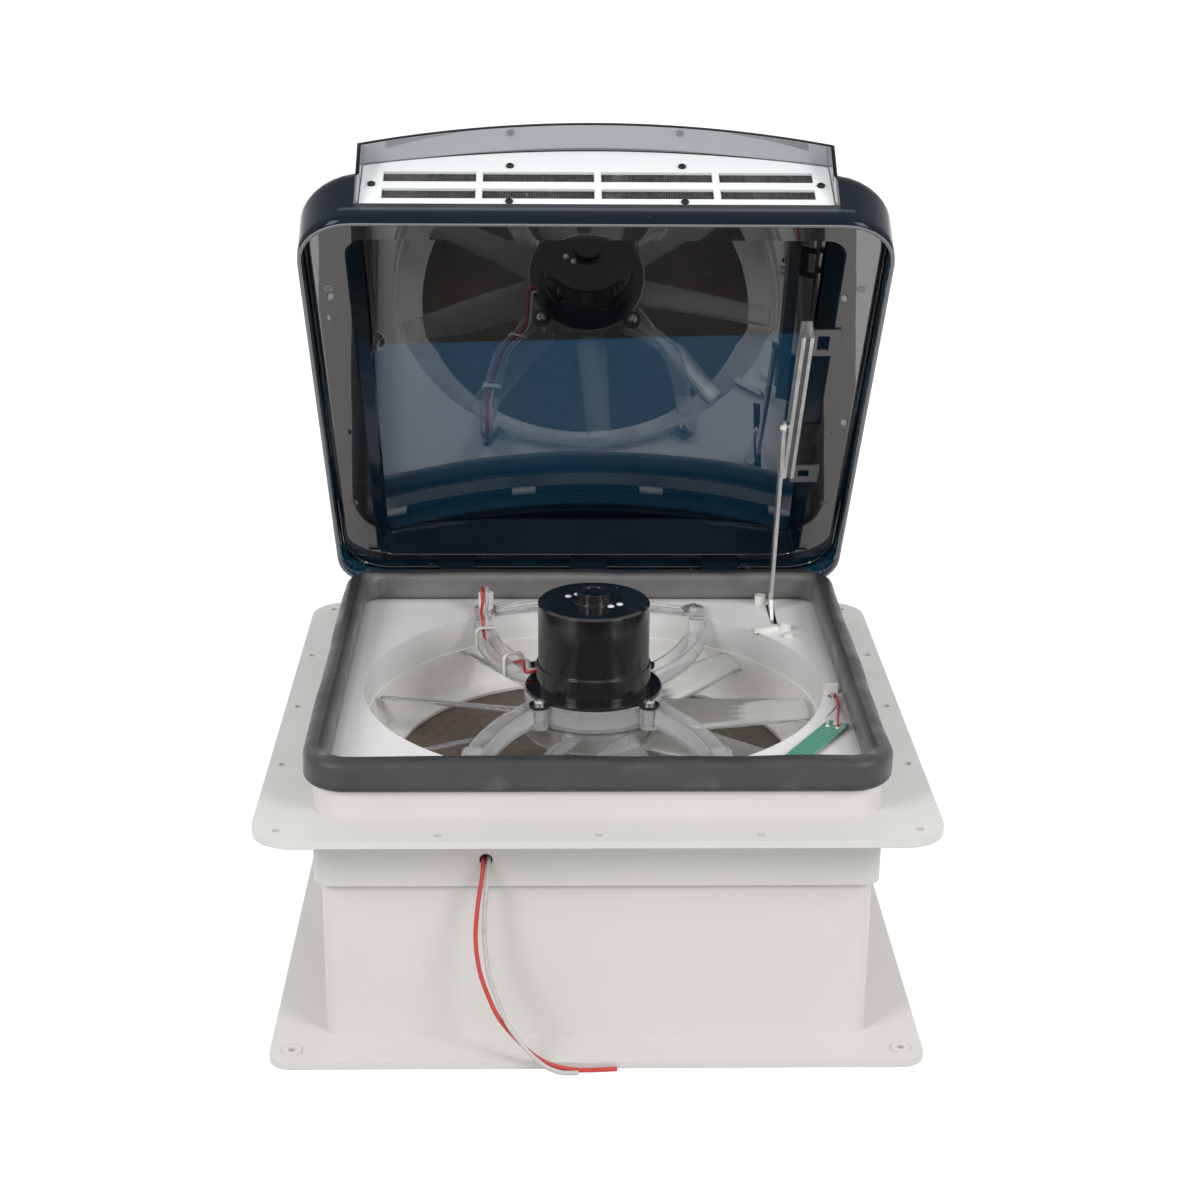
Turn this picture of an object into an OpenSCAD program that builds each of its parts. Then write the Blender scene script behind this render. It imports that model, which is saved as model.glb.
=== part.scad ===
// Roof vent fan for a 14 inch roof opening, shown with its lid raised.
// It stands on its ceiling trim, as it would before fitting.
// Origin: middle of the trim's four screws, on the trim's room face. +Z points up to the roof,
// X runs along the lid's hinge, and the lid opens towards -Y.

/* [Roof flange] */
// Width of the square flange that is screwed to the roof
flange_w = 418; // [412:1:430]
// Thickness of the flange
flange_t = 5; // [4:0.5:7]
// Corner radius of the flange
flange_corner = 26; // [16:1:34]
// Distance from the flange's edge to the side rows of screw holes
screw_edge = 9; // [8:0.5:11]
// Spacing of the screw holes along a side
screw_pitch = 96.5; // [85:0.5:105]
// Distance from the flange's edge to the corner holes
corner_screw_edge = 16; // [14:0.5:19]
// Diameter of the roof screw holes
screw_hole_d = 5; // [4:0.5:6]

/* [Skirt, collar and deck] */
// Outer width of the skirt that drops through the roof opening
skirt_w = 350; // [346:1:354]
// Wall thickness of the base moulding
base_wall = 3; // [2.5:0.1:3.5]
// Drop of the skirt below the top of the flange
skirt_drop = 47; // [40:1:60]
// Corner radius of the skirt
skirt_corner = 12; // [8:1:18]
// Height of the collar above the flange
collar_h = 17; // [14:1:22]
// Thickness of the deck inside the collar
deck_t = 2.5; // [2:0.1:3]
// Diameter of the round throat
throat_d = 310; // [304:1:314]
// Diameter of the lead hole in the skirt
lead_hole_d = 8; // [7:0.5:10]

/* [Ceiling trim] */
// Width of the trim's square flange
trim_w = 408; // [400:1:416]
// Thickness of the trim's flange
trim_t = 4.5; // [3.5:0.5:6]
// Outer width of the trim's neck, which slides into the skirt
neck_w = 341; // [339:0.5:342]
// Wall thickness of the trim's neck
neck_wall = 2.2; // [1.8:0.1:2.6]
// Height of the trim's neck above the room face
neck_h = 122; // [90:1:140]
// How far the neck reaches up into the skirt
neck_overlap = 11; // [8:1:14]
// Distance from the trim's edge to its corner screws
trim_screw_edge = 14; // [12:0.5:16]
// Diameter of the trim's screw holes
trim_hole_d = 4.5; // [4:0.5:5]

/* [Seal] */
// Outer width of the rubber seal
seal_w = 361; // [359:0.5:363]
// Width of the seal's section
seal_t = 15; // [13:0.5:16]
// Height of the seal's section
seal_h = 21.5; // [19:0.5:24]
// Rounding of the seal's section
seal_round = 5; // [3:0.5:6]

/* [Screen] */
// Diameter of the opening that shows the insect screen
screen_open_d = 269; // [262:1:274]
// Height of the screen's ledge above the trim's neck
ledge_lift = -2; // [-3:0.5:4]
// Spacing of the screen's wires
screen_pitch = 15; // [14:0.5:20]
// Width of a screen wire
screen_wire = 1.2; // [0.8:0.1:1.6]

/* [Motor] */
// Diameter of the motor can
can_d = 75.2; // [70:0.2:80]
// Height of the motor can above its mounting plate
can_h = 60; // [50:1:62]
// Diameter of the motor's mounting plate
plate_d = 92; // [88:1:96]
// Thickness of the motor's mounting plate
plate_t = 2; // [1.5:0.1:2.5]
// Distance of the four motor screws from the centre, along X and along Y
ear_at = 36.4; // [35:0.2:38]
// Diameter of the bearing boss on top of the can
boss_d = 23; // [18:1:28]
// Height of the bearing boss
boss_h = 7; // [5:0.5:8]
// Diameter of the motor shaft
shaft_d = 6; // [5:0.5:8]

/* [Motor bracket] */
// Outer diameter of the clear cup that holds the motor
cup_d = 94; // [92:1:98]
// Depth of the clear cup
cup_h = 15; // [13:0.5:16]
// Width of the bracket's curved arms
arm_w = 13; // [11:0.5:15]
// Height of the bracket's curved arms
arm_h = 12.5; // [10:0.5:13]
// Bend radius of the curved arms
arm_bend = 167; // [160:1:175]

/* [Fan] */
// Number of blades
blades = 9; // [7:1:10]
// Clearance between the blade tips and the throat ring
tip_gap = 4; // [3:0.5:8]
// Outer diameter of the fan's hub
hub_d = 94; // [88:1:96]
// Height of the fan's hub
hub_h = 14; // [12:0.5:16]
// Blade chord at the hub
root_chord = 32; // [26:1:34]
// Blade chord at the tip
tip_chord = 20; // [16:1:28]
// Blade pitch at the hub, in degrees
root_pitch = 27; // [22:1:28]
// Blade pitch at the tip, in degrees
tip_pitch = 25; // [18:1:28]
// Blade thickness
blade_t = 2; // [1.6:0.1:2.6]

/* [Lid] */
// Outer width of the lid
lid_w = 377; // [376:1:380]
// Outer length of the lid, from its back wall to its front
lid_l = 394.5; // [392:0.5:396]
// Wall thickness of the lid's shell
lid_wall = 2.5; // [2:0.1:3]
// Height of the lid's crown above its rim
lid_h = 66.5; // [66:0.5:72]
// Angle of the raised lid above its closed place
lid_open = 54; // [40:1:54]
// Distance of the lid's back wall behind the hinge
hinge_back = 10.5; // [10:0.5:12]
// Fall of the lid's roof from the scoop to the back, in degrees
roof_fall = 5; // [4:0.5:6]
// Width of the raised scoop at the lid's front
scoop_w = 303; // [290:1:306]
// Rise of the scoop, in degrees
scoop_rise = 7; // [5:0.5:8]
// Width of the flat ledge inside the lid
ledge_w = 26; // [23:0.5:28]
// Thickness of the liner that carries the ledge
liner_t = 2; // [1.6:0.1:2.4]
// Diameter of the hinge pin
hinge_pin_d = 4; // [3:0.5:5]

/* [Louvre] */
// Thickness of the louvre panel
louvre_t = 2; // [1.6:0.1:2.6]
// Height of a louvre slot
slot_h = 9; // [7:0.5:10]
// Lean of the louvre panel, in degrees
louvre_lean = 14; // [8:1:16]

/* [Lift] */
// Distance of the lift arm's face from the middle of the fan
arm_x = 133; // [131:0.5:135]
// Thickness of the lift arm
arm_t = 2.5; // [2:0.1:3]
// Width of the lift arm
bar_w = 10; // [8:0.5:12]
// Distance from the lift arm's pivot to its pin
arm_len = 166.9; // [164:0.1:170]
// Depth of the lift arm's pivot below the deck
pivot_drop = 11; // [9:0.5:12]
// Diameter of the roller on the lift arm's pin
roller_d = 6; // [5:0.5:7]
// Diameter of the lift arm's pin
pin_d = 4; // [3:0.5:4]
// Diameter of the lift arm's axle
axle_d = 8; // [6:0.5:9]

/* [Hidden] */
$fn = 96;
eps = 0.01;

// Heights, from the room up to the lid
skirt_bottom = neck_h - neck_overlap;
flange_top = skirt_bottom + skirt_drop;
flange_under = flange_top - flange_t;
deck_top = flange_top + collar_h;
deck_under = deck_top - deck_t;
seal_top = deck_top + seal_h;
ledge_z = neck_h + ledge_lift;
plate_z = deck_top - 2.4;
can_z = plate_z + plate_t;
can_top = can_z + can_h;
cup_z = plate_z - cup_h;

// Corner centres shared by the collar, the seal and the lid, so that their gaps are even
corner_at = 152.5;
seal_half = seal_w / 2;
collar_half = skirt_w / 2;
skirt_in = collar_half - base_wall;
seal_in = seal_half - seal_t;
seal_mid = seal_half - seal_t / 2;
rail_t = 2.4;
rail_h = 11;
fit = 0.3;

// Throat and the ring under it
throat_r = throat_d / 2;
ring_r = throat_r - 1.2;
ring_t = 4.2;
seam_z = deck_top - 23;
throat_wall = 2.5;

// Screw patterns
row_at = flange_w / 2 - screw_edge;
corner_screw = flange_w / 2 - corner_screw_edge;
trim_screw = trim_w / 2 - trim_screw_edge;

// Lead hole
lead_x = -68.5;
lead_z = 129;
lead_d = 2.8;
lead_gap = 3.2;

// Fan
tip_r = ring_r - tip_gap;
fan_z = cup_z - 2 - hub_h / 2;
hub_top = cup_z - 2;
nut_h = 5;

// Lid frame: hinge line at the back, local Y runs back from the front, local Z up from the rim
hinge_y = 194;
hinge_z = deck_top + 7;
lid_half = lid_w / 2;
lid_corner = lid_half - corner_at;
lid_mid_y = hinge_back - lid_l / 2;
lid_front = hinge_back - lid_l;
crown_r = 840;
scoop_crown_r = 605;
scoop_back = -203;
shoulder_r = 10;
seat_z = seal_top + fit - hinge_z;
scoop_half = scoop_w / 2;
hood_sill = 17;

// Lift: the arm swings in one plane while its roller runs in the lid's rail
pivot_y = 134;
pivot_z = deck_top - pivot_drop;
pin_angle = 78.1;
knee_y = 14.3;
knee_z = 18.4;
rail_mid_z = 6.65;
rail_in = roller_d + 6;
rail_gap = pin_d + 6;
rail_wall = 1.4;
rail_depth = 8;
rail_x = arm_x + arm_t + 1;
rail_from = -127;
rail_to = -267;
slot_w = 5.4;
slot_from = 112;
slot_to = 162;

// Flat shapes

module rounded(wx, wy, r) {
    square([wx - 2 * r, wy], center = true);
    square([wx, wy - 2 * r], center = true);
    for (sx = [-1, 1], sy = [-1, 1])
        translate([sx * (wx / 2 - r), sy * (wy / 2 - r)]) circle(r);
}

module rounded_box(wx, wy, r, z0, z1) {
    translate([0, 0, z0]) linear_extrude(z1 - z0) rounded(wx, wy, r);
}

// A square ring between two heights, with rounded corners inside and out
module square_ring(outer, inner, r_out, r_in, z0, z1) {
    difference() {
        rounded_box(outer, outer, r_out, z0, z1);
        rounded_box(inner, inner, r_in, z0 - 1, z1 + 1);
    }
}

module tube(r_out, r_in, z0, z1) {
    difference() {
        translate([0, 0, z0]) cylinder(r = r_out, h = z1 - z0);
        translate([0, 0, z0 - 1]) cylinder(r = r_in, h = z1 - z0 + 2);
    }
}

// Carries a section round a rounded rectangle; the section's X counts from the corner centres
module around(half_x, half_y) {
    for (mx = [0, 1], my = [0, 1]) mirror([mx, 0, 0]) mirror([0, my, 0]) {
        translate([half_x, half_y, 0]) rotate_extrude(angle = 90) children();
        translate([0, half_y, 0]) rotate([90, 0, 90]) linear_extrude(half_x) children();
        translate([half_x, half_y, 0]) rotate([90, 0, 0]) linear_extrude(half_y) children();
    }
}

module at_corners(x, y) {
    for (sx = [-1, 1], sy = [-1, 1]) translate([sx * x, sy * y, 0]) children();
}

// Pan head screw: head above z = 0, shank below, with a cross recess
module screw(head_d, shank_d, shank_l) {
    head_h = head_d * 0.36;
    difference() {
        union() {
            cylinder(d = head_d, h = head_h * 0.6, $fn = 24);
            translate([0, 0, head_h * 0.6])
                cylinder(d1 = head_d, d2 = head_d * 0.62, h = head_h * 0.4, $fn = 24);
        }
        for (a = [0, 90]) rotate([0, 0, a])
            translate([0, 0, head_h]) cube([head_d * 0.55, head_d * 0.14, head_h], center = true);
    }
    translate([0, 0, -shank_l]) cylinder(d = shank_d, h = shank_l + eps, $fn = 24);
}

// Round leads swept along their points

function unit(v) = v / norm(v);
function lead_dir(p, i) =
    i == 0 ? unit(p[1] - p[0]) :
    i == len(p) - 1 ? unit(p[i] - p[i - 1]) :
    unit(unit(p[i + 1] - p[i]) + unit(p[i] - p[i - 1]));
// Each ring's first side is carried along from the ring before it, so that the tube never twists
function carried(p, i, u) = let (d = lead_dir(p, i)) unit(u - (u * d) * d);
function sides(p, u0) =
    [for (i = 0, u = carried(p, 0, u0); i < len(p);
          i = i + 1, u = i < len(p) ? carried(p, i, u) : u) u];
// A smooth curve through the points, with a given number of steps between two of them
function blend(a, b, c, d, t) =
    0.5 * (2 * b + (c - a) * t + (2 * a - 5 * b + 4 * c - d) * t * t
    + (3 * b - a - 3 * c + d) * t * t * t);
function smooth(p, steps) = [
    for (i = [0 : len(p) - 2], k = [0 : steps - 1])
        let (a = p[max(i - 1, 0)], d = p[min(i + 2, len(p) - 1)])
        blend(a, p[i], p[i + 1], d, k / steps),
    p[len(p) - 1]];

module lead(points, d, steps = 2, n = 8) {
    p = smooth(points, steps);
    u = sides(p, [0.31, 0.17, 0.93]);
    rings = [for (i = [0 : len(p) - 1], k = [0 : n - 1])
        let (t = lead_dir(p, i), w = cross(t, u[i]), a = 360 * k / n)
        p[i] + d / 2 * (cos(a) * u[i] + sin(a) * w)];
    last = (len(p) - 1) * n;
    polyhedron(rings, concat(
        [[for (k = [0 : n - 1]) k]],
        [for (i = [0 : len(p) - 2], k = [0 : n - 1])
            let (a = i * n + k, b = i * n + (k + 1) % n) each [[a, b + n, b], [a, a + n, b + n]]],
        [[for (k = [0 : n - 1]) last + n - 1 - k]]));
}

// Base moulding

module roof_base() color("whitesmoke") {
    difference() {
        union() {
            rounded_box(flange_w, flange_w, flange_corner, flange_under, flange_top);
            rounded_box(skirt_w, skirt_w, skirt_corner, skirt_bottom, flange_top - 1);
            rounded_box(skirt_w, skirt_w, collar_half - corner_at, flange_top - 1, deck_top);
        }
        rounded_box(2 * skirt_in, 2 * skirt_in, skirt_corner - base_wall, skirt_bottom - 1, flange_under);
        rounded_box(2 * skirt_in, 2 * skirt_in, skirt_in - corner_at, flange_under - eps, deck_under);
        translate([0, 0, deck_under - 1]) cylinder(r = throat_r, h = deck_t + 2);
        roof_screw_holes();
        translate([lead_x, -collar_half - 1, lead_z]) rotate([-90, 0, 0])
            cylinder(d = lead_hole_d, h = base_wall + 2);
        translate([arm_x + arm_t / 2 - slot_w / 2, slot_from, deck_under - 1])
            cube([slot_w, slot_to - slot_from, deck_t + 2]);
        translate([sensor_hole[0], sensor_hole[1], deck_under - 1]) cylinder(d = 7, h = deck_t + 2);
        translate([post_hole[0], post_hole[1], deck_under - 1]) cylinder(d = 7, h = deck_t + 2);
    }
    tube(throat_r + throat_wall, throat_r, seam_z, deck_top);
    around(corner_at, corner_at)
        translate([seal_mid - corner_at - rail_t / 2, deck_top - 1]) square([rail_t, rail_h + 1]);
    neck_ribs();
}

module roof_screw_holes() {
    hole_z = flange_under - 1;
    for (a = [0 : 90 : 270], k = [-1 : 1]) rotate([0, 0, a])
        translate([k * screw_pitch, -row_at, hole_z]) cylinder(d = screw_hole_d, h = flange_t + 2);
    at_corners(corner_screw, corner_screw)
        translate([0, 0, hole_z]) cylinder(d = screw_hole_d, h = flange_t + 2);
}

// Ribs inside the skirt, which stand on the edge of the trim's neck
module neck_ribs() {
    rib_in = neck_w / 2 - neck_wall;
    for (a = [0 : 90 : 270], k = [-1, 1]) rotate([0, 0, a])
        translate([k * 120 - 1.25, -skirt_in - 0.5, neck_h])
            cube([2.5, skirt_in - rib_in + 0.5, flange_top - neck_h]);
}

module throat_ring() color("white") {
    sleeve_r = throat_r + throat_wall + fit;
    difference() {
        translate([0, 0, ledge_z]) cylinder(r = ring_r + ring_t, h = seam_z - ledge_z);
        translate([0, 0, ledge_z + 2.5]) cylinder(r = ring_r, h = seam_z - ledge_z);
        translate([0, 0, ledge_z - 1]) cylinder(d = screen_open_d, h = 5);
    }
    tube(sleeve_r + 1.5, sleeve_r, seam_z - 3, seam_z + 6);
    tube(sleeve_r + 1.5, ring_r + 1, seam_z - 3, seam_z);
}

module rim_seal() color("dimgray")
    around(corner_at, corner_at) difference() {
        w = seal_t;
        x0 = seal_in - corner_at;
        translate([x0 + w / 2, deck_top + seal_h / 2]) rounded(w, seal_h, seal_round);
        translate([seal_mid - corner_at - rail_t / 2 - 0.2, deck_top - 1])
            square([rail_t + 0.4, rail_h + 1.2]);
    }

module ceiling_trim() color("whitesmoke") {
    neck_half = neck_w / 2;
    neck_in = neck_half - neck_wall;
    difference() {
        union() {
            rounded_box(trim_w, trim_w, 14, 0, trim_t);
            rounded_box(neck_w, neck_w, 9, 0, neck_h);
            at_corners(trim_screw, trim_screw) cylinder(d = 12, h = trim_t + 1.5);
        }
        rounded_box(2 * neck_in, 2 * neck_in, 9 - neck_wall, -1, neck_h + 1);
        at_corners(trim_screw, trim_screw)
            translate([0, 0, -1]) cylinder(d = trim_hole_d, h = trim_t + 4);
        // Hollow under the flange, which leaves a rim and the screw bosses
        difference() {
            square_ring(trim_w - 5, neck_w + 8, 12, 12, -1, trim_t - 2.2);
            at_corners(trim_screw, trim_screw)
                translate([0, 0, -2]) cylinder(d = 12, h = trim_t + 4);
        }
    }
}

// Screen

function screen_cells(r) = [
    for (i = [-10 : 10], j = [-10 : 10])
        let (x = (i + 0.5) * screen_pitch, y = (j + 0.5) * screen_pitch)
        if (norm([abs(x) + screen_pitch / 2, abs(y) + screen_pitch / 2]) < r) [x, y]];

module insect_screen() color([0.3, 0.29, 0.27]) {
    gap = screen_pitch - screen_wire;
    frame_r = screen_open_d / 2 + 10;
    cells = screen_cells(screen_open_d / 2);
    rim = [for (a = [0 : 5 : 355]) frame_r * [cos(a), sin(a)]];
    corners = [for (c = cells, s = [[-1, -1], [-1, 1], [1, 1], [1, -1]]) c + s * gap / 2];
    translate([0, 0, ledge_z - fit - 1]) linear_extrude(1) polygon(
        concat(rim, corners),
        concat([[for (i = [0 : len(rim) - 1]) i]],
               [for (c = [0 : len(cells) - 1]) [for (k = [0 : 3]) len(rim) + 4 * c + k]]));
}

module screen_clips() color("white") {
    frame_r = screen_open_d / 2 + 10;
    for (a = [45 : 90 : 315]) rotate([0, 0, a]) {
        translate([frame_r + 1, -6, ledge_z - 3.7]) cube([7, 12, 3.7]);
        translate([frame_r - 4, -6, ledge_z - 3.7]) cube([5 + eps, 12, 2.1]);
    }
}

// Motor bracket, moulded in clear plastic

arm_from = -41;
arm_to = 0;
arm_c = [-88, 139.6];
foot_r = 160;
foot_a = 61.4;
foot_at = foot_r * [cos(foot_a), sin(foot_a)];
foot_t = 3.5;
post_at = [-foot_at[0], foot_at[1]];
post_hole = post_at + [-2, 9.4];

// The arm's place is the first quadrant's; the others are its mirror images
module on_arm(from, to) translate([arm_c[0], arm_c[1], 0]) rotate([0, 0, from])
    rotate_extrude(angle = to - from, $fn = 180) translate([arm_bend, 0]) children();

module motor_bracket() color([0.85, 0.88, 0.88, 0.6]) {
    arm_z = plate_z - arm_h;
    difference() {
        union() {
            translate([0, 0, cup_z]) cylinder(d = cup_d, h = cup_h);
            for (mx = [0, 1], my = [0, 1]) mirror([mx, 0, 0]) mirror([0, my, 0]) {
                on_arm(arm_from, arm_to - 4.7) difference() {
                    translate([-arm_w / 2, arm_z]) square([arm_w, arm_h]);
                    translate([-arm_w / 2 + 2, arm_z + 2]) square([arm_w - 4, arm_h]);
                }
                translate([ear_at, ear_at, cup_z]) cylinder(r = 6, h = cup_h);
                bracket_foot(arm_z);
            }
            bracket_bars();
        }
        translate([0, 0, cup_z + 2]) cylinder(d = cup_d - 5, h = cup_h);
        translate([0, 0, cup_z - 1]) cylinder(r = shaft_d / 2 + 6, h = 4);
    }
    for (a = [0 : 45 : 315]) rotate([0, 0, a])
        translate([cup_d / 2 - 3, -0.8, cup_z]) cube([2, 1.6, cup_h]);
}

module bracket_foot(arm_z) {
    difference() {
        union() {
            translate([foot_at[0], foot_at[1], deck_top]) cylinder(r = 8, h = foot_t);
            on_arm(arm_to - 7, arm_to + 1) translate([0.5 - arm_w / 2, deck_top]) square([arm_w - 1, foot_t]);
        }
        translate([foot_at[0], foot_at[1], deck_top - 1]) cylinder(r = 1.7, h = foot_t + 2, $fn = 24);
    }
    on_arm(arm_to - 8.5, arm_to - 4.5) translate([1 - arm_w / 2, arm_z + 0.5])
        square([arm_w - 2, deck_top + foot_t - arm_z - 1.2]);
}

// Bars that follow the throat's edge from foot to foot, front and back
module bracket_bars() {
    bar_a = 54;
    for (a = [90, 270]) rotate([0, 0, a - bar_a / 2])
        rotate_extrude(angle = bar_a, $fn = 180) translate([throat_r - 4, deck_top]) {
            square([8, 1.6]);
            square([1.6, foot_t]);
            translate([6.4, 0]) square([1.6, foot_t]);
        }
}

module bracket_screws() color("silver")
    for (s = [[1, 1], [1, -1], [-1, -1]])
        translate([s[0] * foot_at[0], s[1] * foot_at[1], deck_top + foot_t]) screw(7, 3.2, foot_t);

// Motor

module motor_can() color([0.07, 0.07, 0.08]) {
    difference() {
        union() {
            translate([0, 0, can_z]) cylinder(d = can_d + 2.4, h = 16);
            translate([0, 0, can_z + 16]) cylinder(d1 = can_d + 2.4, d2 = can_d, h = 0.8);
            translate([0, 0, can_z]) cylinder(d = can_d, h = can_h - 1.5);
            translate([0, 0, can_top - 1.5]) cylinder(d1 = can_d, d2 = can_d - 3, h = 1.5);
            translate([0, 0, can_top - 1]) cylinder(d = boss_d, h = boss_h + 1);
            translate([0, 0, can_top - 1]) cylinder(d = boss_d + 5, h = 2);
        }
        for (p = [[-17, 8], [-11, 12], [17, -8], [11, -12]])
            translate([p[0], p[1], can_top - 2]) cylinder(d = 3.4, h = 3, $fn = 24);
        translate([0, 0, can_top + boss_h - 1]) cylinder(d = boss_d - 5, h = 2);
    }
}

module motor_plate() color([0.07, 0.07, 0.08]) translate([0, 0, plate_z]) difference() {
    union() {
        cylinder(d = plate_d, h = plate_t);
        at_corners(ear_at, ear_at) cylinder(r = 7, h = plate_t, $fn = 48);
    }
    at_corners(ear_at, ear_at) translate([0, 0, -1]) cylinder(r = 2.2, h = plate_t + 2, $fn = 24);
    translate([0, 0, -1]) cylinder(d = shaft_d + 0.1, h = plate_t + 2);
}

module motor_end_bell() color([0.07, 0.07, 0.08]) difference() {
    union() {
        translate([0, 0, cup_z + 5]) cylinder(r = 30, h = plate_z - cup_z - 5);
        translate([0, 0, cup_z + 2.6]) cylinder(r = 9, h = 4);
    }
    translate([0, 0, cup_z]) cylinder(d = shaft_d + 0.1, h = plate_z - cup_z + 1);
}

module motor_screws() color("silver")
    at_corners(ear_at, ear_at) translate([0, 0, can_z]) screw(7.5, 3.6, plate_t);

module motor_shaft() color("silver")
    translate([0, 0, hub_top - hub_h - nut_h - 3]) cylinder(d = shaft_d, h = can_z - hub_top + hub_h + nut_h + 2);

// Fan

function chord_at(r) = root_chord + (tip_chord - root_chord) * (r - hub_d / 2) / (tip_r - hub_d / 2);
function pitch_at(r) = root_pitch + (tip_pitch - root_pitch) * (r - hub_d / 2) / (tip_r - hub_d / 2);
// One point of a blade: r out from the axis, t from -1 to 1 across the chord, w from -1 to 1 through it
function blade_point(r, t, w) =
    let (c = chord_at(r), p = pitch_at(r), bow = 0.07 * c * (1 - t * t),
         thick = blade_t / 2 * sqrt(max(0.08, 1 - t * t)),
         along = t * c / 2, up = bow + w * thick,
         x = along * cos(p) - up * sin(p), z = along * sin(p) + up * cos(p),
         a = 360 * x / (2 * PI * r))
    [r * cos(a), r * sin(a), z];

module blade() {
    across = 6;
    out = 7;
    n = 2 * (across + 1);
    r0 = hub_d / 2 - 1.5;
    points = [for (i = [0 : out]) let (r = r0 + (tip_r - r0) * i / out)
        each concat([for (k = [0 : across]) blade_point(r, -1 + 2 * k / across, -1)],
                    [for (k = [0 : across]) blade_point(r, 1 - 2 * k / across, 1)])];
    last = out * n;
    polyhedron(points, concat(
        [for (k = [0 : across - 1]) each [[k, k + 1, n - 1 - k], [k + 1, n - 2 - k, n - 1 - k]]],
        [for (i = [0 : out - 1], k = [0 : n - 1])
            let (a = i * n + k, b = i * n + (k + 1) % n) each [[a, b + n, b], [a, a + n, b + n]]],
        [for (k = [0 : across - 1])
            each [[last + k, last + n - 1 - k, last + k + 1],
                  [last + k + 1, last + n - 1 - k, last + n - 2 - k]]]));
}

module fan_rotor() color([0.8, 0.83, 0.84, 0.6]) {
    difference() {
        translate([0, 0, hub_top - hub_h]) cylinder(d = hub_d, h = hub_h);
        translate([0, 0, hub_top - hub_h - 1]) cylinder(d = hub_d - 5, h = hub_h - 1);
        translate([0, 0, hub_top - hub_h]) cylinder(d = shaft_d + 0.1, h = hub_h + 1);
    }
    tube(10, shaft_d / 2 + 0.05, hub_top - hub_h, hub_top - 1);
    for (a = [0 : 60 : 300]) rotate([0, 0, a])
        translate([9.5, -0.8, hub_top - hub_h + 2]) cube([hub_d / 2 - 11, 1.6, hub_h - 3]);
    for (k = [0 : blades - 1]) rotate([0, 0, 6 + k * 360 / blades]) translate([0, 0, fan_z]) blade();
}

module hub_nut() color("silver") translate([0, 0, hub_top - hub_h - nut_h]) difference() {
    cylinder(d = 12, h = nut_h, $fn = 6);
    translate([0, 0, -1]) cylinder(d = shaft_d + 0.1, h = nut_h + 2);
}

// Wires

lead_exit = [-39.2, 15];
module wire_post() color("white") translate([post_at[0], post_at[1], deck_top + foot_t]) {
    cylinder(d = 11, h = 11.5);
    translate([0, 0, 11.5]) cylinder(d1 = 11, d2 = 8, h = 1);
}

function along_arm(a, off, z) =
    [-arm_c[0] - (arm_bend + off) * cos(a), arm_c[1] + (arm_bend + off) * sin(a), z];

// From the motor's side along the channel of the back left arm, over the post and down through the deck
module motor_lead(side) {
    floor_z = plate_z - arm_h + 2 + 1.6;
    over_z = deck_top + foot_t + 12.5 + 1.6;
    x = side * 1.7;
    lead([[lead_exit[0], lead_exit[1] - x, can_z + 4],
          [lead_exit[0] - 5.5 - x, lead_exit[1] + 1 - 1.2 * x, can_z + 3],
          along_arm(-36, x, can_z + 0.5),
          along_arm(-30, x, floor_z + 4),
          along_arm(-22, x, floor_z),
          along_arm(-14.5, x, floor_z + 2),
          along_arm(-11.3, x, floor_z + 9),
          along_arm(-9.6, x, deck_top + foot_t + 1.5),
          along_arm(-7, x, deck_top + foot_t + 4),
          [post_at[0] - x - 0.5, post_at[1] - 9.2, deck_top + foot_t + 7],
          [post_at[0] - x - 1, post_at[1] - 6.8, over_z - 1],
          [post_at[0] - x - 1, post_at[1], over_z + 0.3],
          [post_at[0] - x - 1, post_at[1] + 7.4, over_z - 1.8],
          [post_at[0] - x - 1.5, post_at[1] + 9.4, deck_top + 8],
          [post_hole[0] - x, post_hole[1], deck_top + 1],
          [post_hole[0] - x, post_hole[1], deck_under - 6]], 2.4);
}
module motor_lead_red() color("firebrick") motor_lead(1);
module motor_lead_white() color("white") motor_lead(-1);

module cable_ties() color("white")
    for (a = [-31, -12]) mirror([1, 0, 0]) on_arm(a - 0.6, a + 0.6) difference() {
        z0 = plate_z - arm_h - fit;
        translate([-arm_w / 2 - 1.3, z0 - 1]) square([arm_w + 2.6, arm_h + 5]);
        translate([-arm_w / 2 - fit, z0]) square([arm_w + 2 * fit, arm_h + 3]);
    }

// Rain sensor: a comb board on the deck, right and in front

board = [14.5, 78];
board_at = [137.5, -110];
board_turn = -31;
board_t = 1.6;
board_lift = 2;
sensor_hole = [160, -24];
module on_board() translate([board_at[0], board_at[1], deck_top + board_lift]) rotate([0, 0, board_turn])
    children();

module rain_sensor_board() color("seagreen") on_board() difference() {
    translate([-board[0] / 2, -board[1] / 2, 0]) cube([board[0], board[1], board_t]);
    for (y = [-1, 1]) translate([0, y * (board[1] / 2 - 4), -1]) cylinder(d = 3, h = 4, $fn = 24);
}

// Stand-off washers, pegs and solder dots
module sensor_terminals() color("white") on_board() {
    for (y = [-1, 1]) translate([0, y * (board[1] / 2 - 4), -board_lift]) {
        cylinder(d = 6, h = board_lift, $fn = 24);
        cylinder(d = 2.8, h = board_lift + board_t + 0.2, $fn = 24);
        translate([0, 0, board_lift + board_t]) cylinder(d = 4.6, h = 0.8, $fn = 24);
    }
    for (x = [-3.5, 3.5]) translate([x, board[1] / 2 - 10, board_t]) cylinder(d1 = 3.4, d2 = 1.6, h = 1, $fn = 24);
}

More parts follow.
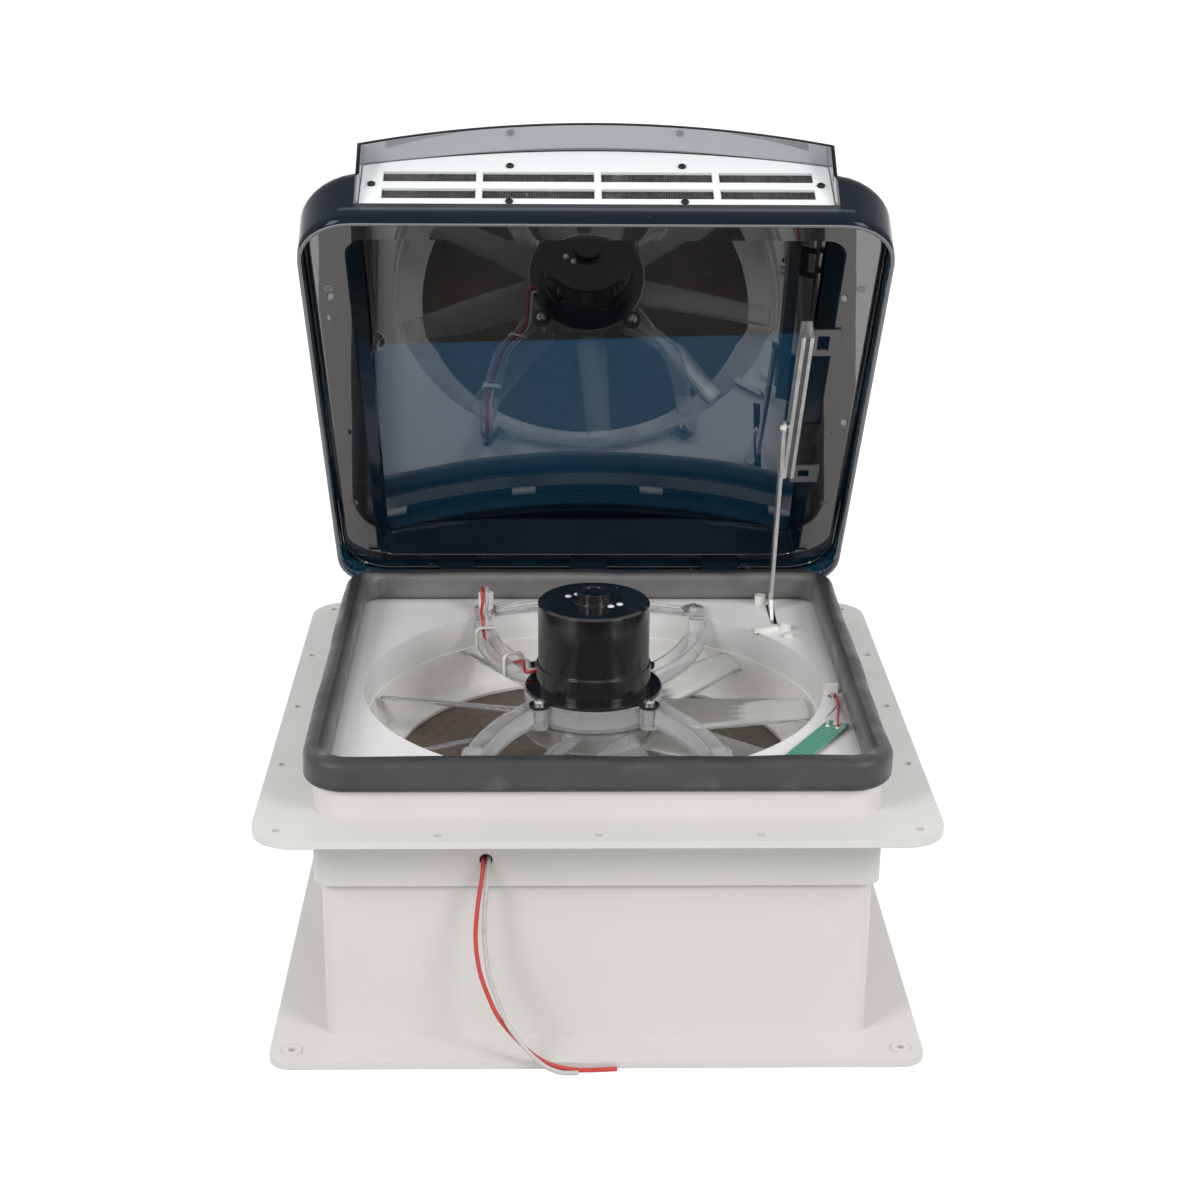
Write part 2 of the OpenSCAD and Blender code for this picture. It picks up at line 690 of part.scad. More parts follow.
module sensor_lead(side) {
    tip = board_at + [cos(board_turn) * side * 3.5 - sin(board_turn) * (board[1] / 2 - 10),
                      sin(board_turn) * side * 3.5 + cos(board_turn) * (board[1] / 2 - 10)];
    z = deck_top + board_lift + board_t + 1;
    lead([[tip[0], tip[1], z],
          [tip[0], tip[1], z + 0.8],
          [tip[0], tip[1], z + 1.7],
          [tip[0] + 0.5, tip[1] + 2.6, z + 3.4],
          [tip[0] + 1, tip[1] + 8, z + 2.6],
          [sensor_hole[0] + side * 1.2, sensor_hole[1] - 24, deck_top + 2],
          [sensor_hole[0] + side * 1.2, sensor_hole[1] - 12, deck_top + 3.4],
          [sensor_hole[0] + side * 1.2, sensor_hole[1] - 4, deck_top + 3.4],
          [sensor_hole[0] + side * 1.2, sensor_hole[1], deck_top],
          [sensor_hole[0] + side * 1.2, sensor_hole[1], deck_under - 5]], 1.6);
}
module sensor_lead_red() color("firebrick") sensor_lead(1);
module sensor_lead_white() color("white") sensor_lead(-1);

module sensor_clip() color("ivory") translate([sensor_hole[0], sensor_hole[1] + 5.2, deck_top]) {
    translate([-5, -1.2, 0]) cube([9, 6, 3]);
    translate([-5, -1.2, 0]) cube([9, 2.4, 7]);
}

// Lift drive under the deck

box_x = arm_x + arm_t + 3;
gear_y = pivot_y - 16;
gear_l = 48;
gear_h = 42;
module lift_gearbox() color([0.16, 0.16, 0.17]) difference() {
    union() {
        translate([box_x, gear_y, deck_under - gear_h]) cube([24, gear_l, gear_h]);
        translate([box_x - 1.2, pivot_y, pivot_z]) rotate([0, 90, 0]) cylinder(r = 7, h = 4);
    }
    translate([box_x - 2, pivot_y, pivot_z]) rotate([0, 90, 0]) cylinder(d = axle_d + 0.1, h = 22);
}

module lift_motor() color("silver") {
    translate([box_x - 38, gear_y + 34, deck_under - 29]) rotate([0, 90, 0]) {
        cylinder(r = 12.5, h = 36);
        translate([0, 0, -3]) cylinder(r = 5, h = 3);
        translate([0, 0, 36]) cylinder(r = 7, h = 2);
    }
}

// Bosses and a guide bar at the slot
module slot_guard() color("white") translate([0, 0, deck_top]) {
    translate([arm_x - 5.5, 158, 0]) cylinder(d = 8, h = 7);
    translate([arm_x + 8, 101, 0]) cylinder(d = 8, h = 6);
    translate([arm_x + 9, 88, 0]) cylinder(d = 7, h = 3);
    translate([arm_x - 15, 94, 0]) rotate([0, 0, 20]) cube([22, 5, 3.5]);
}

// Controls and supply leads

control_h = 50;
module control_box() color([0.15, 0.15, 0.16]) difference() {
    translate([lead_x - 43.5, -skirt_in + 2, deck_under - control_h]) cube([50, 20, control_h]);
    for (s = [-1, 1]) translate([lead_x + s * lead_gap / 2, -skirt_in + 1, lead_z]) rotate([-90, 0, 0])
        cylinder(d = lead_d + 0.2, h = 6, $fn = 24);
}

stub_end = -collar_half;
module lead_stub(side) {
    x = lead_x + side * lead_gap / 2;
    translate([x, -skirt_in + 6, lead_z]) rotate([90, 0, 0])
        cylinder(d = lead_d, h = collar_half - skirt_in + 6, $fn = 24);
}
module lead_stub_red() color("firebrick") lead_stub(-1);
module lead_stub_white() color("white") lead_stub(1);

// The leads hang down over the trim's neck and end bare on the floor
red_route = [
    [-70.1, -175, 129], [-70.1, -176, 129], [-70.1, -177.2, 129], [-70.1, -179.2, 128.5],
    [-70.6, -183, 123], [-72.5, -185.5, 111],
    [-74, -187, 99], [-75, -189.5, 82], [-73, -192.5, 64], [-68.5, -196.5, 50],
    [-61, -200.5, 34], [-50, -204, 21], [-39, -206.8, 11], [-28, -208, 5],
    [-17, -208.2, 2], [-8, -208.2, 1.4], [2, -207.8, 1.4], [12, -207, 1.4]];
white_route = [
    [-66.9, -175, 129], [-66.9, -176, 129], [-66.9, -177.2, 129], [-66.9, -179.2, 128.3],
    [-67.4, -183, 121], [-68.8, -185, 108],
    [-69.6, -187, 94], [-69.3, -189.5, 79], [-67, -193, 60], [-62.0, -197.8, 46],
    [-56.2, -202.4, 32], [-48.8, -207.2, 22.5], [-40.4, -210.4, 13], [-32, -211.3, 6],
    [-24, -211.3, 2.2], [-18, -211.3, 1.4], [-12, -211, 1.4]];
module supply_lead_red() color("firebrick") lead(red_route, lead_d, 3);
module supply_lead_white() color("white") lead(white_route, lead_d, 3);

// Hinge

stand_x = [-150, -50, 50, 150];
module hinge_stands() color("whitesmoke") for (x = stand_x) translate([x, 0, 0]) difference() {
    union() {
        translate([-9, hinge_y - 4, flange_top]) cube([18, 7, hinge_z - flange_top]);
        translate([-9, hinge_y, hinge_z]) rotate([0, 90, 0]) cylinder(r = 4, h = 18);
    }
    translate([-10, hinge_y, hinge_z]) rotate([0, 90, 0]) cylinder(d = hinge_pin_d + 0.1, h = 20);
}

module hinge_pin() color("silver")
    translate([-168, hinge_y, hinge_z]) rotate([0, 90, 0]) cylinder(d = hinge_pin_d, h = 336);

module lid_place() translate([0, hinge_y, hinge_z]) rotate([-lid_open, 0, 0]) children();

module lid_hinge_leaf() color("silver") lid_place()
    for (k = [0 : 2]) {
        from = stand_x[k] + 9.3;
        to = stand_x[k + 1] - 9.3;
        mid = (from + to) / 2;
        difference() {
            union() {
                translate([from, 0, 0]) rotate([0, 90, 0]) cylinder(r = 4, h = to - from);
                translate([mid - 14, -1.5, 2]) cube([28, 3, seat_z - 2]);
                translate([mid - 14, -1.5, seat_z - 1.5]) cube([28, 8.7, 1.5]);
            }
            translate([from - 1, 0, 0]) rotate([0, 90, 0])
                cylinder(d = hinge_pin_d + 0.1, h = to - from + 2);
        }
    }

// Lid, drawn closed with its rim on z = 0

// Height of a crowned top at x
function crown(top, r, x) = top - r + sqrt(r * r - x * x);
// Half of a crowned section: the crown, a rounded shoulder and the wall down to the rim
function section(half, top, r, round, x0) =
    let (xs = half - round, zs = crown(top, r, xs) - round)
    concat([for (k = [0 : 12]) let (x = xs * k / 12) [x, crown(top, r, x)]],
           [for (a = [75 : -15 : 0]) [xs + round * cos(a), zs + round * sin(a)]],
           [[half, x0]]);
function mirrored(p) = concat([for (i = [len(p) - 1 : -1 : 1]) [-p[i][0], p[i][1]]], p);

// The lid from the side: a slightly rising front, the fall to the back and rounded shoulders
function side_view(g, low) =
    let (r = shoulder_r, above = 0.6, zf = lid_h - 4 - r,
         zb = lid_h + above - (hinge_back - r - scoop_back) * tan(roof_fall) - r / cos(roof_fall))
    concat([[lid_front - g, low]],
           [for (a = [180 : -15 : 90]) [lid_front + r + (r + g) * cos(a), zf + (r + g) * sin(a)]],
           [[scoop_back, lid_h + g + above]],
           [for (k = [6 : -1 : 0]) let (a = (90 - roof_fall) * k / 6)
               [hinge_back - r + (r + g) * cos(a), zb + (r + g) * sin(a)]],
           [[hinge_back + g, low]]);

// The crowned section carried from front to back, falling behind the scoop's back edge
module crowned(g, low, fall) translate([0, scoop_back, lid_h]) rotate([-fall, 0, 0])
    translate([0, -230, -lid_h]) rotate([90, 0, 180]) linear_extrude(480)
        polygon(mirrored(section(lid_half + g, lid_h + g, crown_r + g, shoulder_r + g, low)));

// The solid inside the lid's outer face, grown by g (negative for the hollow)
module lid_body(g, low) intersection() {
    translate([0, lid_mid_y, low - 1]) linear_extrude(lid_h + 20)
        rounded(lid_w + 2 * g, lid_l + 2 * g, lid_corner + g);
    crowned(g, low, 0);
    crowned(g, low - 30, roof_fall);
    rotate([90, 0, 90]) translate([0, 0, -lid_half - 5]) linear_extrude(lid_w + 10)
        polygon(side_view(g, low));
}

module scoop_body(g, low) intersection() {
    translate([-scoop_half - g, lid_front - g, low])
        cube([scoop_w + 2 * g, -lid_front + scoop_back + 2 * g, 120]);
    translate([0, scoop_back, lid_h]) rotate([90 - scoop_rise, 0, 0])
        translate([0, -scoop_crown_r, -30]) cylinder(r = scoop_crown_r + g, h = 260, $fn = 360);
}

module lid_shell() color([0.1, 0.16, 0.22, 0.85]) lid_place() difference() {
    union() {
        lid_body(0, 0);
        scoop_body(0, 20);
    }
    lid_body(-lid_wall, -1);
    scoop_body(-lid_wall, 20);
    hood_opening();
}

// The scoop's mouth in the front wall
module hood_opening() intersection() {
    translate([-scoop_half + lid_wall, lid_front - 5, hood_sill])
        cube([scoop_w - 2 * lid_wall, 12, 120]);
    translate([0, scoop_back, lid_h]) rotate([90 - scoop_rise, 0, 0])
        translate([0, -scoop_crown_r, -30])
            cylinder(r = scoop_crown_r - lid_wall, h = 260, $fn = 360);
}

// Ledge all round, with walls behind it on three sides
liner_half = lid_half - lid_wall - fit;
ledge_in = lid_half - lid_wall - ledge_w;
liner_back = hinge_back - lid_wall - fit;
ledge_back = liner_back - 18.7;
ledge_front = lid_front + 30;

module lid_liner() color([0.1, 0.16, 0.22, 0.85]) lid_place() {
    hole_l = ledge_back - ledge_front;
    difference() {
        translate([0, lid_mid_y, seat_z]) linear_extrude(liner_t) difference() {
            rounded(2 * liner_half, lid_l - 2 * (lid_wall + fit), lid_corner - lid_wall - fit);
            translate([0, (ledge_back + ledge_front) / 2 - lid_mid_y]) rounded(2 * ledge_in, hole_l, 14);
        }
        lid_screw_places() {
            translate([0, 0, -1]) cylinder(d = 3.4, h = liner_t + 2, $fn = 24);
            translate([0, 0, -0.1]) cylinder(d1 = 6.5, d2 = 3.4, h = 1.6, $fn = 24);
        }
    }
    intersection() {
        difference() {
            rounded_prism(2 * ledge_in + 2 * liner_t, ledge_back, ledge_front, 16);
            rounded_prism(2 * ledge_in, ledge_back - liner_t, ledge_front - 40, 14);
            translate([-ledge_in - 5, ledge_front - 50, seat_z]) cube([2 * ledge_in + 10, 110, 80]);
        }
        lid_body(-lid_wall - fit, 0);
    }
}

module rounded_prism(w, back, front, r) translate([0, (back + front) / 2, seat_z])
    linear_extrude(60) rounded(w, back - front, r);

module lid_screw_places() {
    for (sx = [-1, 1]) {
        for (y = [lid_front + 307, lid_front + 75]) translate([sx * seal_mid, y, seat_z]) children();
        translate([sx * (ledge_in - 41), liner_back - 4.7, seat_z]) children();
    }
}

// Countersunk screws, level with the ledge so that they pass over the seal
module lid_screws() color("silver") lid_place() lid_screw_places() {
    difference() {
        cylinder(d1 = 6, d2 = 3, h = 1.5, $fn = 24);
        for (a = [0, 90]) rotate([0, 0, a]) cube([3.2, 0.8, 1.2], center = true);
    }
    translate([0, 0, 1.4]) cylinder(d = 3, h = 7, $fn = 24);
}

// Louvre panel, set back in the scoop's mouth and leaning back

mouth_half = scoop_half - lid_wall - fit;
module on_louvre() translate([0, lid_front + lid_wall + 1, hood_sill + 1.5]) rotate([90 - louvre_lean, 0, 0])
    children();
panel_h = 62;
function panel_top(x) = panel_h - scoop_crown_r + sqrt(scoop_crown_r * scoop_crown_r - x * x);
cols = [[-135, -78], [-72, -3], [3, 72], [78, 135]];
rows = [12, 29];
mesh_half = mouth_half - 8.7;
louvre_screw_d = 2.4;
louvre_screw_at = [for (sx = [-1, 1])
    each [[sx * 55, panel_top(55) - 12], [sx * 55, 5], [sx * (mouth_half - 6.7), 25]]];

module louvre_panel() color("white") lid_place() {
    on_louvre() translate([0, 0, -louvre_t]) linear_extrude(louvre_t) difference() {
        polygon(concat([for (k = [-12 : 12]) let (x = mouth_half * k / 12) [x, panel_top(x)]],
                       [[mouth_half, 0], [-mouth_half, 0]]));
        for (c = cols, y = rows) translate([c[0], y]) square([c[1] - c[0], slot_h]);
        for (p = louvre_screw_at) translate(p) circle(d = louvre_screw_d + 0.2, $fn = 24);
    }
}

module louvre_mesh() color([0.25, 0.25, 0.25]) lid_place() on_louvre()
    translate([0, 0, -louvre_t - 0.8]) linear_extrude(0.8) for (y = rows) difference() {
        translate([-mesh_half, y - 3]) square([2 * mesh_half, slot_h + 6]);
        for (i = [-27 : 26], j = [0, 1])
            translate([i * 5 + 0.5, y + 0.25 + j * 4.5]) square([4, 3.9]);
    }

module louvre_screws() color("silver") lid_place() on_louvre()
    for (p = louvre_screw_at) translate(p) screw(5, louvre_screw_d, 6);

// Rail and arm of the lift

module lift_rail() color("silver") lid_place() translate([rail_x, 0, rail_mid_z]) {
    out = rail_in / 2 + rail_wall;
    translate([0, rail_from, 0]) rotate([90, 0, 0]) linear_extrude(rail_from - rail_to) {
        translate([rail_depth - rail_wall, -out]) square([rail_wall, 2 * out]);
        for (s = [-1, 1]) mirror([0, s < 0 ? 1 : 0]) {
            translate([0, rail_in / 2]) square([rail_depth, rail_wall]);
            translate([0, rail_gap / 2]) square([rail_wall, out - rail_gap / 2]);
        }
    }
}

bracket_at = [[rail_from + 22, rail_from + 3], [rail_to + 22, rail_to - 3]];
module rail_brackets() color("gainsboro") lid_place()
    for (y = bracket_at) translate([0, 0, seat_z]) difference() {
        x0 = rail_x + rail_depth;
        translate([x0, y[1], -1.8]) cube([seal_in - 1 - x0, y[0] - y[1], 1.8]);
        translate([x0 + 5, y[1] + 5, -3]) cube([8, y[0] - y[1] - 10, 4]);
    }

// Black block beside the rail, under the ledge
module rail_block() color([0.1, 0.1, 0.1]) lid_place()
    translate([rail_x + rail_depth, rail_from - 44, seat_z - 1.8]) cube([16.5, 45, 1.8]);

module arm_place() translate([0, pivot_y, pivot_z]) children();
pin_at = arm_len * [-cos(pin_angle), sin(pin_angle)];

// Bent strip with round ends: from the axle to the knee, and on to the pin
module lift_arm() color("gainsboro") arm_place() translate([arm_x, 0, 0]) rotate([90, 0, 90])
    linear_extrude(arm_t) difference() {
        union() {
            leg([0, 0], [knee_y, knee_z]);
            leg([knee_y, knee_z], pin_at);
            circle(r = 7);
        }
        circle(d = axle_d);
        translate(pin_at) circle(d = pin_d);
    }

module leg(a, b) hull() {
    translate(a) circle(d = bar_w, $fn = 32);
    translate(b) circle(d = bar_w, $fn = 32);
}

module arm_axle() color("silver") arm_place() translate([arm_x, 0, 0]) rotate([0, 90, 0]) {
    cylinder(d = axle_d, h = 20);
    translate([0, 0, -1.2]) cylinder(d = axle_d + 2, h = 1.2);
}

module arm_pin() color("silver") arm_place()
    translate([arm_x - 1.6, pin_at[0], pin_at[1]]) rotate([0, 90, 0]) {
        cylinder(d = pin_d, h = 1.6 + rail_x - arm_x + rail_depth - rail_wall - 0.5);
        cylinder(d = pin_d + 3, h = 1.6);
    }

module arm_roller() color("dimgray") arm_place()
    translate([rail_x + rail_wall + 0.4, pin_at[0], pin_at[1]]) rotate([0, 90, 0]) difference() {
        cylinder(d = roller_d, h = rail_depth - 2 * rail_wall - 1);
        translate([0, 0, -1]) cylinder(d = pin_d + 0.1, h = rail_depth + 2);
    }

roof_base();
throat_ring();
rim_seal();
ceiling_trim();
insect_screen();
screen_clips();
motor_bracket();
bracket_screws();
motor_can();
motor_plate();
motor_end_bell();
motor_screws();
wire_post();
motor_lead_red();
motor_lead_white();
cable_ties();
rain_sensor_board();
sensor_terminals();
sensor_lead_red();
sensor_lead_white();
sensor_clip();
lift_gearbox();
lift_motor();
slot_guard();
control_box();
lead_stub_red();
lead_stub_white();
supply_lead_red();
supply_lead_white();
hinge_stands();
hinge_pin();
fan_rotor();
motor_shaft();
hub_nut();
lid_shell();
lid_liner();
lid_screws();
louvre_panel();
louvre_mesh();
louvre_screws();
lid_hinge_leaf();
lift_rail();
rail_brackets();
rail_block();
lift_arm();
arm_pin();
arm_roller();
arm_axle();
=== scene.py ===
# %% [markdown]
# # A roof vent fan, dressed from its CAD frame
#
# The object is a square vent for a camper's roof: a pale moulded base, a rubber seal round its collar, a motor
# on a clear bracket over a clear fan, and a dark glossy lid held up by an arm. The solids come from the packed
# CAD model and stay where they are. This notebook gives them their finishes, and swaps the pieces whose smooth
# curves matter most, such as the lid, for surfaces worked out with numpy.

import bmesh
import bpy
import numpy as np
from mathutils import Matrix


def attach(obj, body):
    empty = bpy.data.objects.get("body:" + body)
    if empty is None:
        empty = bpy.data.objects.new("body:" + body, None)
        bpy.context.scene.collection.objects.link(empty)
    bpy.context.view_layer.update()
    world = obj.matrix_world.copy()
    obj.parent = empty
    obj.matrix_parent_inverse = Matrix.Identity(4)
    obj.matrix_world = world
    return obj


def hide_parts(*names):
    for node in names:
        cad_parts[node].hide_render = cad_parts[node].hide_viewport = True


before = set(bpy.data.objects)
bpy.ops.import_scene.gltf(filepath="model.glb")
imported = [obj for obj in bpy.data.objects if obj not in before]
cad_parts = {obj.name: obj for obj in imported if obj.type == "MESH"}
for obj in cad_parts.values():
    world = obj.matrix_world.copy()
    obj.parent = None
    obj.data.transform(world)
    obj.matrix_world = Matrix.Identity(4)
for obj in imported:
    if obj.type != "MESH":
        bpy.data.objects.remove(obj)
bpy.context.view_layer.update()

# %% [markdown]
# ## Camera
#
# The camera was found by fitting a pinhole to the flange's screw holes and edges in the photograph. A pinhole
# needs a place, three angles and a focal length. Here the focal length is in pixels of a 1200 pixel frame, and
# Blender wants it in millimetres of a 36 mm wide sensor, so it's scaled by 36 over 1200.

# %% Aim the camera
PICTURE, SENSOR = 1200, 36
FOCAL_PIXELS = 2204.5
PITCH, YAW, ROLL = np.radians([19.767, -1.381, 0.467])
CAMERA_PLACE = (-0.02946, -1.38996, 0.7345)


def camera_axes(pitch, yaw, roll):
    """Right, up and forward: start level along +Y, tip down by pitch, turn about Z by yaw, then roll."""
    turn = np.array([[np.cos(yaw), -np.sin(yaw), 0], [np.sin(yaw), np.cos(yaw), 0], [0, 0, 1]])
    forward = turn @ [0, np.cos(pitch), -np.sin(pitch)]
    up = turn @ [0, np.sin(pitch), np.cos(pitch)]
    right = turn @ [1, 0, 0]
    return np.cos(roll) * right + np.sin(roll) * up, np.cos(roll) * up - np.sin(roll) * right, forward


def stand(thing, right, up, forward, place):
    """Adds a camera or a lamp at a place. Both look along their own -Z, with their +Y up."""
    matrix = np.eye(4)
    matrix[:3] = np.column_stack([right, up, -forward, place])
    thing.matrix_world = Matrix(matrix.tolist())
    bpy.context.scene.collection.objects.link(thing)


camera_data = bpy.data.cameras.new("camera")
camera_data.sensor_fit = "HORIZONTAL"
camera_data.sensor_width = SENSOR
camera_data.lens = FOCAL_PIXELS * SENSOR / PICTURE
camera_data.clip_start, camera_data.clip_end = 0.05, 60
camera = bpy.data.objects.new("camera", camera_data)
stand(camera, *camera_axes(PITCH, YAW, ROLL), CAMERA_PLACE)
bpy.context.scene.camera = camera
print("lens", round(camera_data.lens, 2), "mm")

# %% [markdown]
# ## Meshes from arrays
#
# Every new surface is a grid of points: rows along one parameter, columns along the other. numpy works out all
# the points at once, and `foreach_set` hands them to Blender in one go. Sizes are written in millimetres, as a
# maker would, and scaled to metres at this one place.


# %% Grids and meshes
def grid_quads(rows, columns, close_rows=False, close_columns=False):
    """Four-sided faces of a grid: point (i, j) has number i * columns + j."""
    i = np.arange(rows if close_rows else rows - 1)[:, None]
    j = np.arange(columns if close_columns else columns - 1)[None, :]
    i2, j2 = (i + 1) % rows, (j + 1) % columns
    quads = np.stack([i * columns + j, i * columns + j2, i2 * columns + j2, i2 * columns + j], -1)
    return quads.reshape(-1, 4)


def copies(quads, count, points_each):
    """One piece's faces, repeated for copies whose points follow each other: number + copy * points_each."""
    return np.concatenate([quads + k * points_each for k in range(count)])


def make_mesh(name, points_mm, quads, body, smooth=True, weld=0.0):
    """A mesh object whose place is in its vertices, riding on a body of the CAD model."""
    points = np.asarray(points_mm, float).reshape(-1, 3) / 1000
    quads = np.asarray(quads, np.int32)
    mesh = bpy.data.meshes.new(name)
    mesh.vertices.add(len(points))
    mesh.vertices.foreach_set("co", points.ravel())
    mesh.loops.add(quads.size)
    mesh.loops.foreach_set("vertex_index", quads.ravel())
    mesh.polygons.add(len(quads))
    mesh.polygons.foreach_set("loop_start", np.arange(len(quads)) * quads.shape[1])
    mesh.polygons.foreach_set("use_smooth", np.full(len(quads), smooth))
    mesh.update(calc_edges=True)
    mesh.validate()
    if weld:
        merge_doubles(mesh, weld)
    piece = bpy.data.objects.new(name, mesh)
    bpy.context.scene.collection.objects.link(piece)
    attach(piece, body)
    return piece


def merge_doubles(mesh, distance_mm):
    """Joins points that lie together, and turns the faces outwards."""
    work = bmesh.new()
    work.from_mesh(mesh)
    bmesh.ops.remove_doubles(work, verts=work.verts, dist=distance_mm / 1000)
    bmesh.ops.recalc_face_normals(work, faces=work.faces)
    work.to_mesh(mesh)
    work.free()


def fill_ends(mesh):
    """Closes every open edge loop with one face, and turns all faces outwards."""
    work = bmesh.new()
    work.from_mesh(mesh)
    bmesh.ops.holes_fill(work, edges=[e for e in work.edges if e.is_boundary], sides=0)
    bmesh.ops.recalc_face_normals(work, faces=work.faces)
    work.to_mesh(mesh)
    work.free()


def thicken(piece, thickness_mm, **settings):
    """Gives a sheet its wall, inwards from the surface."""
    wall = piece.modifiers.new("sheet", "SOLIDIFY")
    wall.thickness, wall.offset = thickness_mm / 1000, -1
    for key, value in settings.items():
        setattr(wall, key, value)


# %% [markdown]
# Leads are tubes round a smooth path, and rings such as the seal are sections carried round a rounded rectangle.


# %% Tubes and outlines
def tube_points(path, radius, sides):
    """Rings of points round a path: each ring is the centre plus radius times a turning pair of side vectors.
    The first side is carried from ring to ring, less its share along the path, so the tube never twists."""
    path = np.asarray(path, float)
    along = np.gradient(path, axis=0)
    along /= np.linalg.norm(along, axis=1, keepdims=True)
    side = np.empty_like(along)
    carried = np.array([0.31, 0.17, 0.93])
    for k, direction in enumerate(along):
        carried = carried - (carried @ direction) * direction
        carried /= np.linalg.norm(carried)
        side[k] = carried
    other = np.cross(along, side)
    turn = np.linspace(0, 2 * np.pi, sides, endpoint=False)
    radius = np.broadcast_to(radius, len(path))[:, None, None]
    cosine, sine = np.cos(turn)[None, :, None], np.sin(turn)[None, :, None]
    return path[:, None] + radius * (cosine * side[:, None] + sine * other[:, None])


def smooth_path(points, steps):
    """A smooth curve through the points: each stretch is the cubic that also looks at both neighbours."""
    p = np.asarray(points, float)
    a, b, c, d = (p[np.clip(np.arange(len(p) - 1) + k, 0, len(p) - 1)][:, None] for k in (-1, 0, 1, 2))
    t = np.linspace(0, 1, steps, endpoint=False)[None, :, None]
    curve = 0.5 * (2 * b + (c - a) * t + (2 * a - 5 * b + 4 * c - d) * t**2 + (3 * b - a - 3 * c + d) * t**3)
    return np.vstack([curve.reshape(-1, 3), p[-1]])


def capped_tube(name, path, radius, sides, body):
    """A closed tube: rings along the path, and a last ring drawn in to a point at each end."""
    rings = tube_points(path, radius, sides)
    ends = [np.repeat(rings[k].mean(0)[None], sides, axis=0)[None] for k in (0, -1)]
    rings = np.concatenate([ends[0], rings, ends[1]])
    return make_mesh(name, rings, grid_quads(len(rings), sides, close_columns=True), body, weld=0.001)


def corner_walk(half_x, half_y, corner_steps, side_steps):
    """Walks round a rounded rectangle, counter-clockwise from the middle of its right side. Returns the nearest
    point of the inner rectangle, whose corners are the arcs' centres, and the unit normal there."""
    base, normal = [], []
    corners = [(1, 1, 0), (-1, 1, 90), (-1, -1, 180), (1, -1, 270)]
    for k, (sx, sy, start) in enumerate(corners):
        angle = np.radians(start + np.linspace(0, 90, corner_steps + 1))
        base.append(np.tile([sx * half_x, sy * half_y], (len(angle), 1)))
        normal.append(np.stack([np.cos(angle), np.sin(angle)], -1))
        nx, ny, _ = corners[(k + 1) % 4]
        t = np.linspace(0, 1, side_steps + 1)[1:-1, None]
        base.append((1 - t) * [sx * half_x, sy * half_y] + t * [nx * half_x, ny * half_y])
        normal.append(np.tile(normal[-1][-1], (len(t), 1)))
    return np.concatenate(base), np.concatenate(normal)


# %% [markdown]
# ## The free leads
#
# Two supply leads leave the skirt through one hole, hang down over the trim and end bare on the floor. Their
# route was read from the photograph, where both are seen from end to end, so that is their length. A cord is
# a tube round its route, and its insulation is glossy plastic.

# %% Route of the supply leads, in millimetres
RED_ROUTE = [
    (-70.1, -175, 129), (-70.1, -176, 129), (-70.1, -177.2, 129), (-70.1, -179.2, 128.5),
    (-70.6, -183, 123), (-72.5, -185.5, 111),
    (-74, -187, 99), (-75, -189.5, 82), (-73, -192.5, 64), (-68.5, -196.5, 50),
    (-61, -200.5, 34), (-50, -204, 21), (-39, -206.8, 11), (-28, -208, 5),
    (-17, -208.2, 2), (-8, -208.2, 1.4), (2, -207.8, 1.4), (12, -207, 1.4),
]
WHITE_ROUTE = [
    (-66.9, -175, 129), (-66.9, -176, 129), (-66.9, -177.2, 129), (-66.9, -179.2, 128.3),
    (-67.4, -183, 121), (-68.8, -185, 108),
    (-69.6, -187, 94), (-69.3, -189.5, 79), (-67, -193, 60), (-62.0, -197.8, 46),
    (-56.2, -202.4, 32), (-48.8, -207.2, 22.5), (-40.4, -210.4, 13), (-32, -211.3, 6),
    (-24, -211.3, 2.2), (-18, -211.3, 1.4), (-12, -211, 1.4),
]
LEAD_DIAMETER = 2.8

# %% [markdown]
# A smooth curve goes through the route, and the cord is a tube round that path.

# %% Lay the supply leads
free_leads = {}
for colour, route in (("red", RED_ROUTE), ("white", WHITE_ROUTE)):
    centre = smooth_path(route, 6)
    lead = capped_tube(f"supply_cord_{colour}", centre, LEAD_DIAMETER / 2, 20, "base")
    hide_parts(f"supply_lead_{colour}")
    free_leads[colour] = lead

# %% [markdown]
# ## Finishes
#
# A finish on a real moulding is never one flat colour. Each material below starts from the shader's plain
# settings, and then adds what the eye looks for: a slow drift in colour, fine grain in the gloss, and a shallow
# bump. All patterns read Object coordinates, which stay put when the camera or a joint moves.


# %% Node helpers
class Nodes:
    """A node tree under construction. Both materials and the world are made with it."""

    def __init__(self, owner):
        owner.use_nodes = True
        self.tree = owner.node_tree

    def add(self, kind, **settings):
        """A new node; capitalised settings are its inputs, the others its own."""
        node = self.tree.nodes.new(kind)
        for key, value in settings.items():
            if key[0].isupper():
                node.inputs[key.replace("_", " ")].default_value = value
            else:
                setattr(node, key, value)
        return node

    def link(self, out, into):
        self.tree.links.new(out, into)

    def math(self, operation, first, second=0.0):
        """A Math node; each side is a number or another node's output."""
        node = self.add("ShaderNodeMath", operation=operation)
        for socket, value in zip(node.inputs, (first, second)):
            if isinstance(value, (int, float)):
                socket.default_value = value
            else:
                self.link(value, socket)
        return node.outputs[0]

    def seen_ray(self):
        """1 for rays that show the surface itself, straight, through glass or in a mirror; 0 for lighting."""
        rays = self.add("ShaderNodeLightPath").outputs
        through = self.math("MAXIMUM", rays["Is Camera Ray"], rays["Is Transmission Ray"])
        return self.math("MAXIMUM", through, rays["Is Glossy Ray"])


# %% [markdown]
# A finish adds the principled shader and the patterns that feed it: noise, mixes, gloss and bumps.


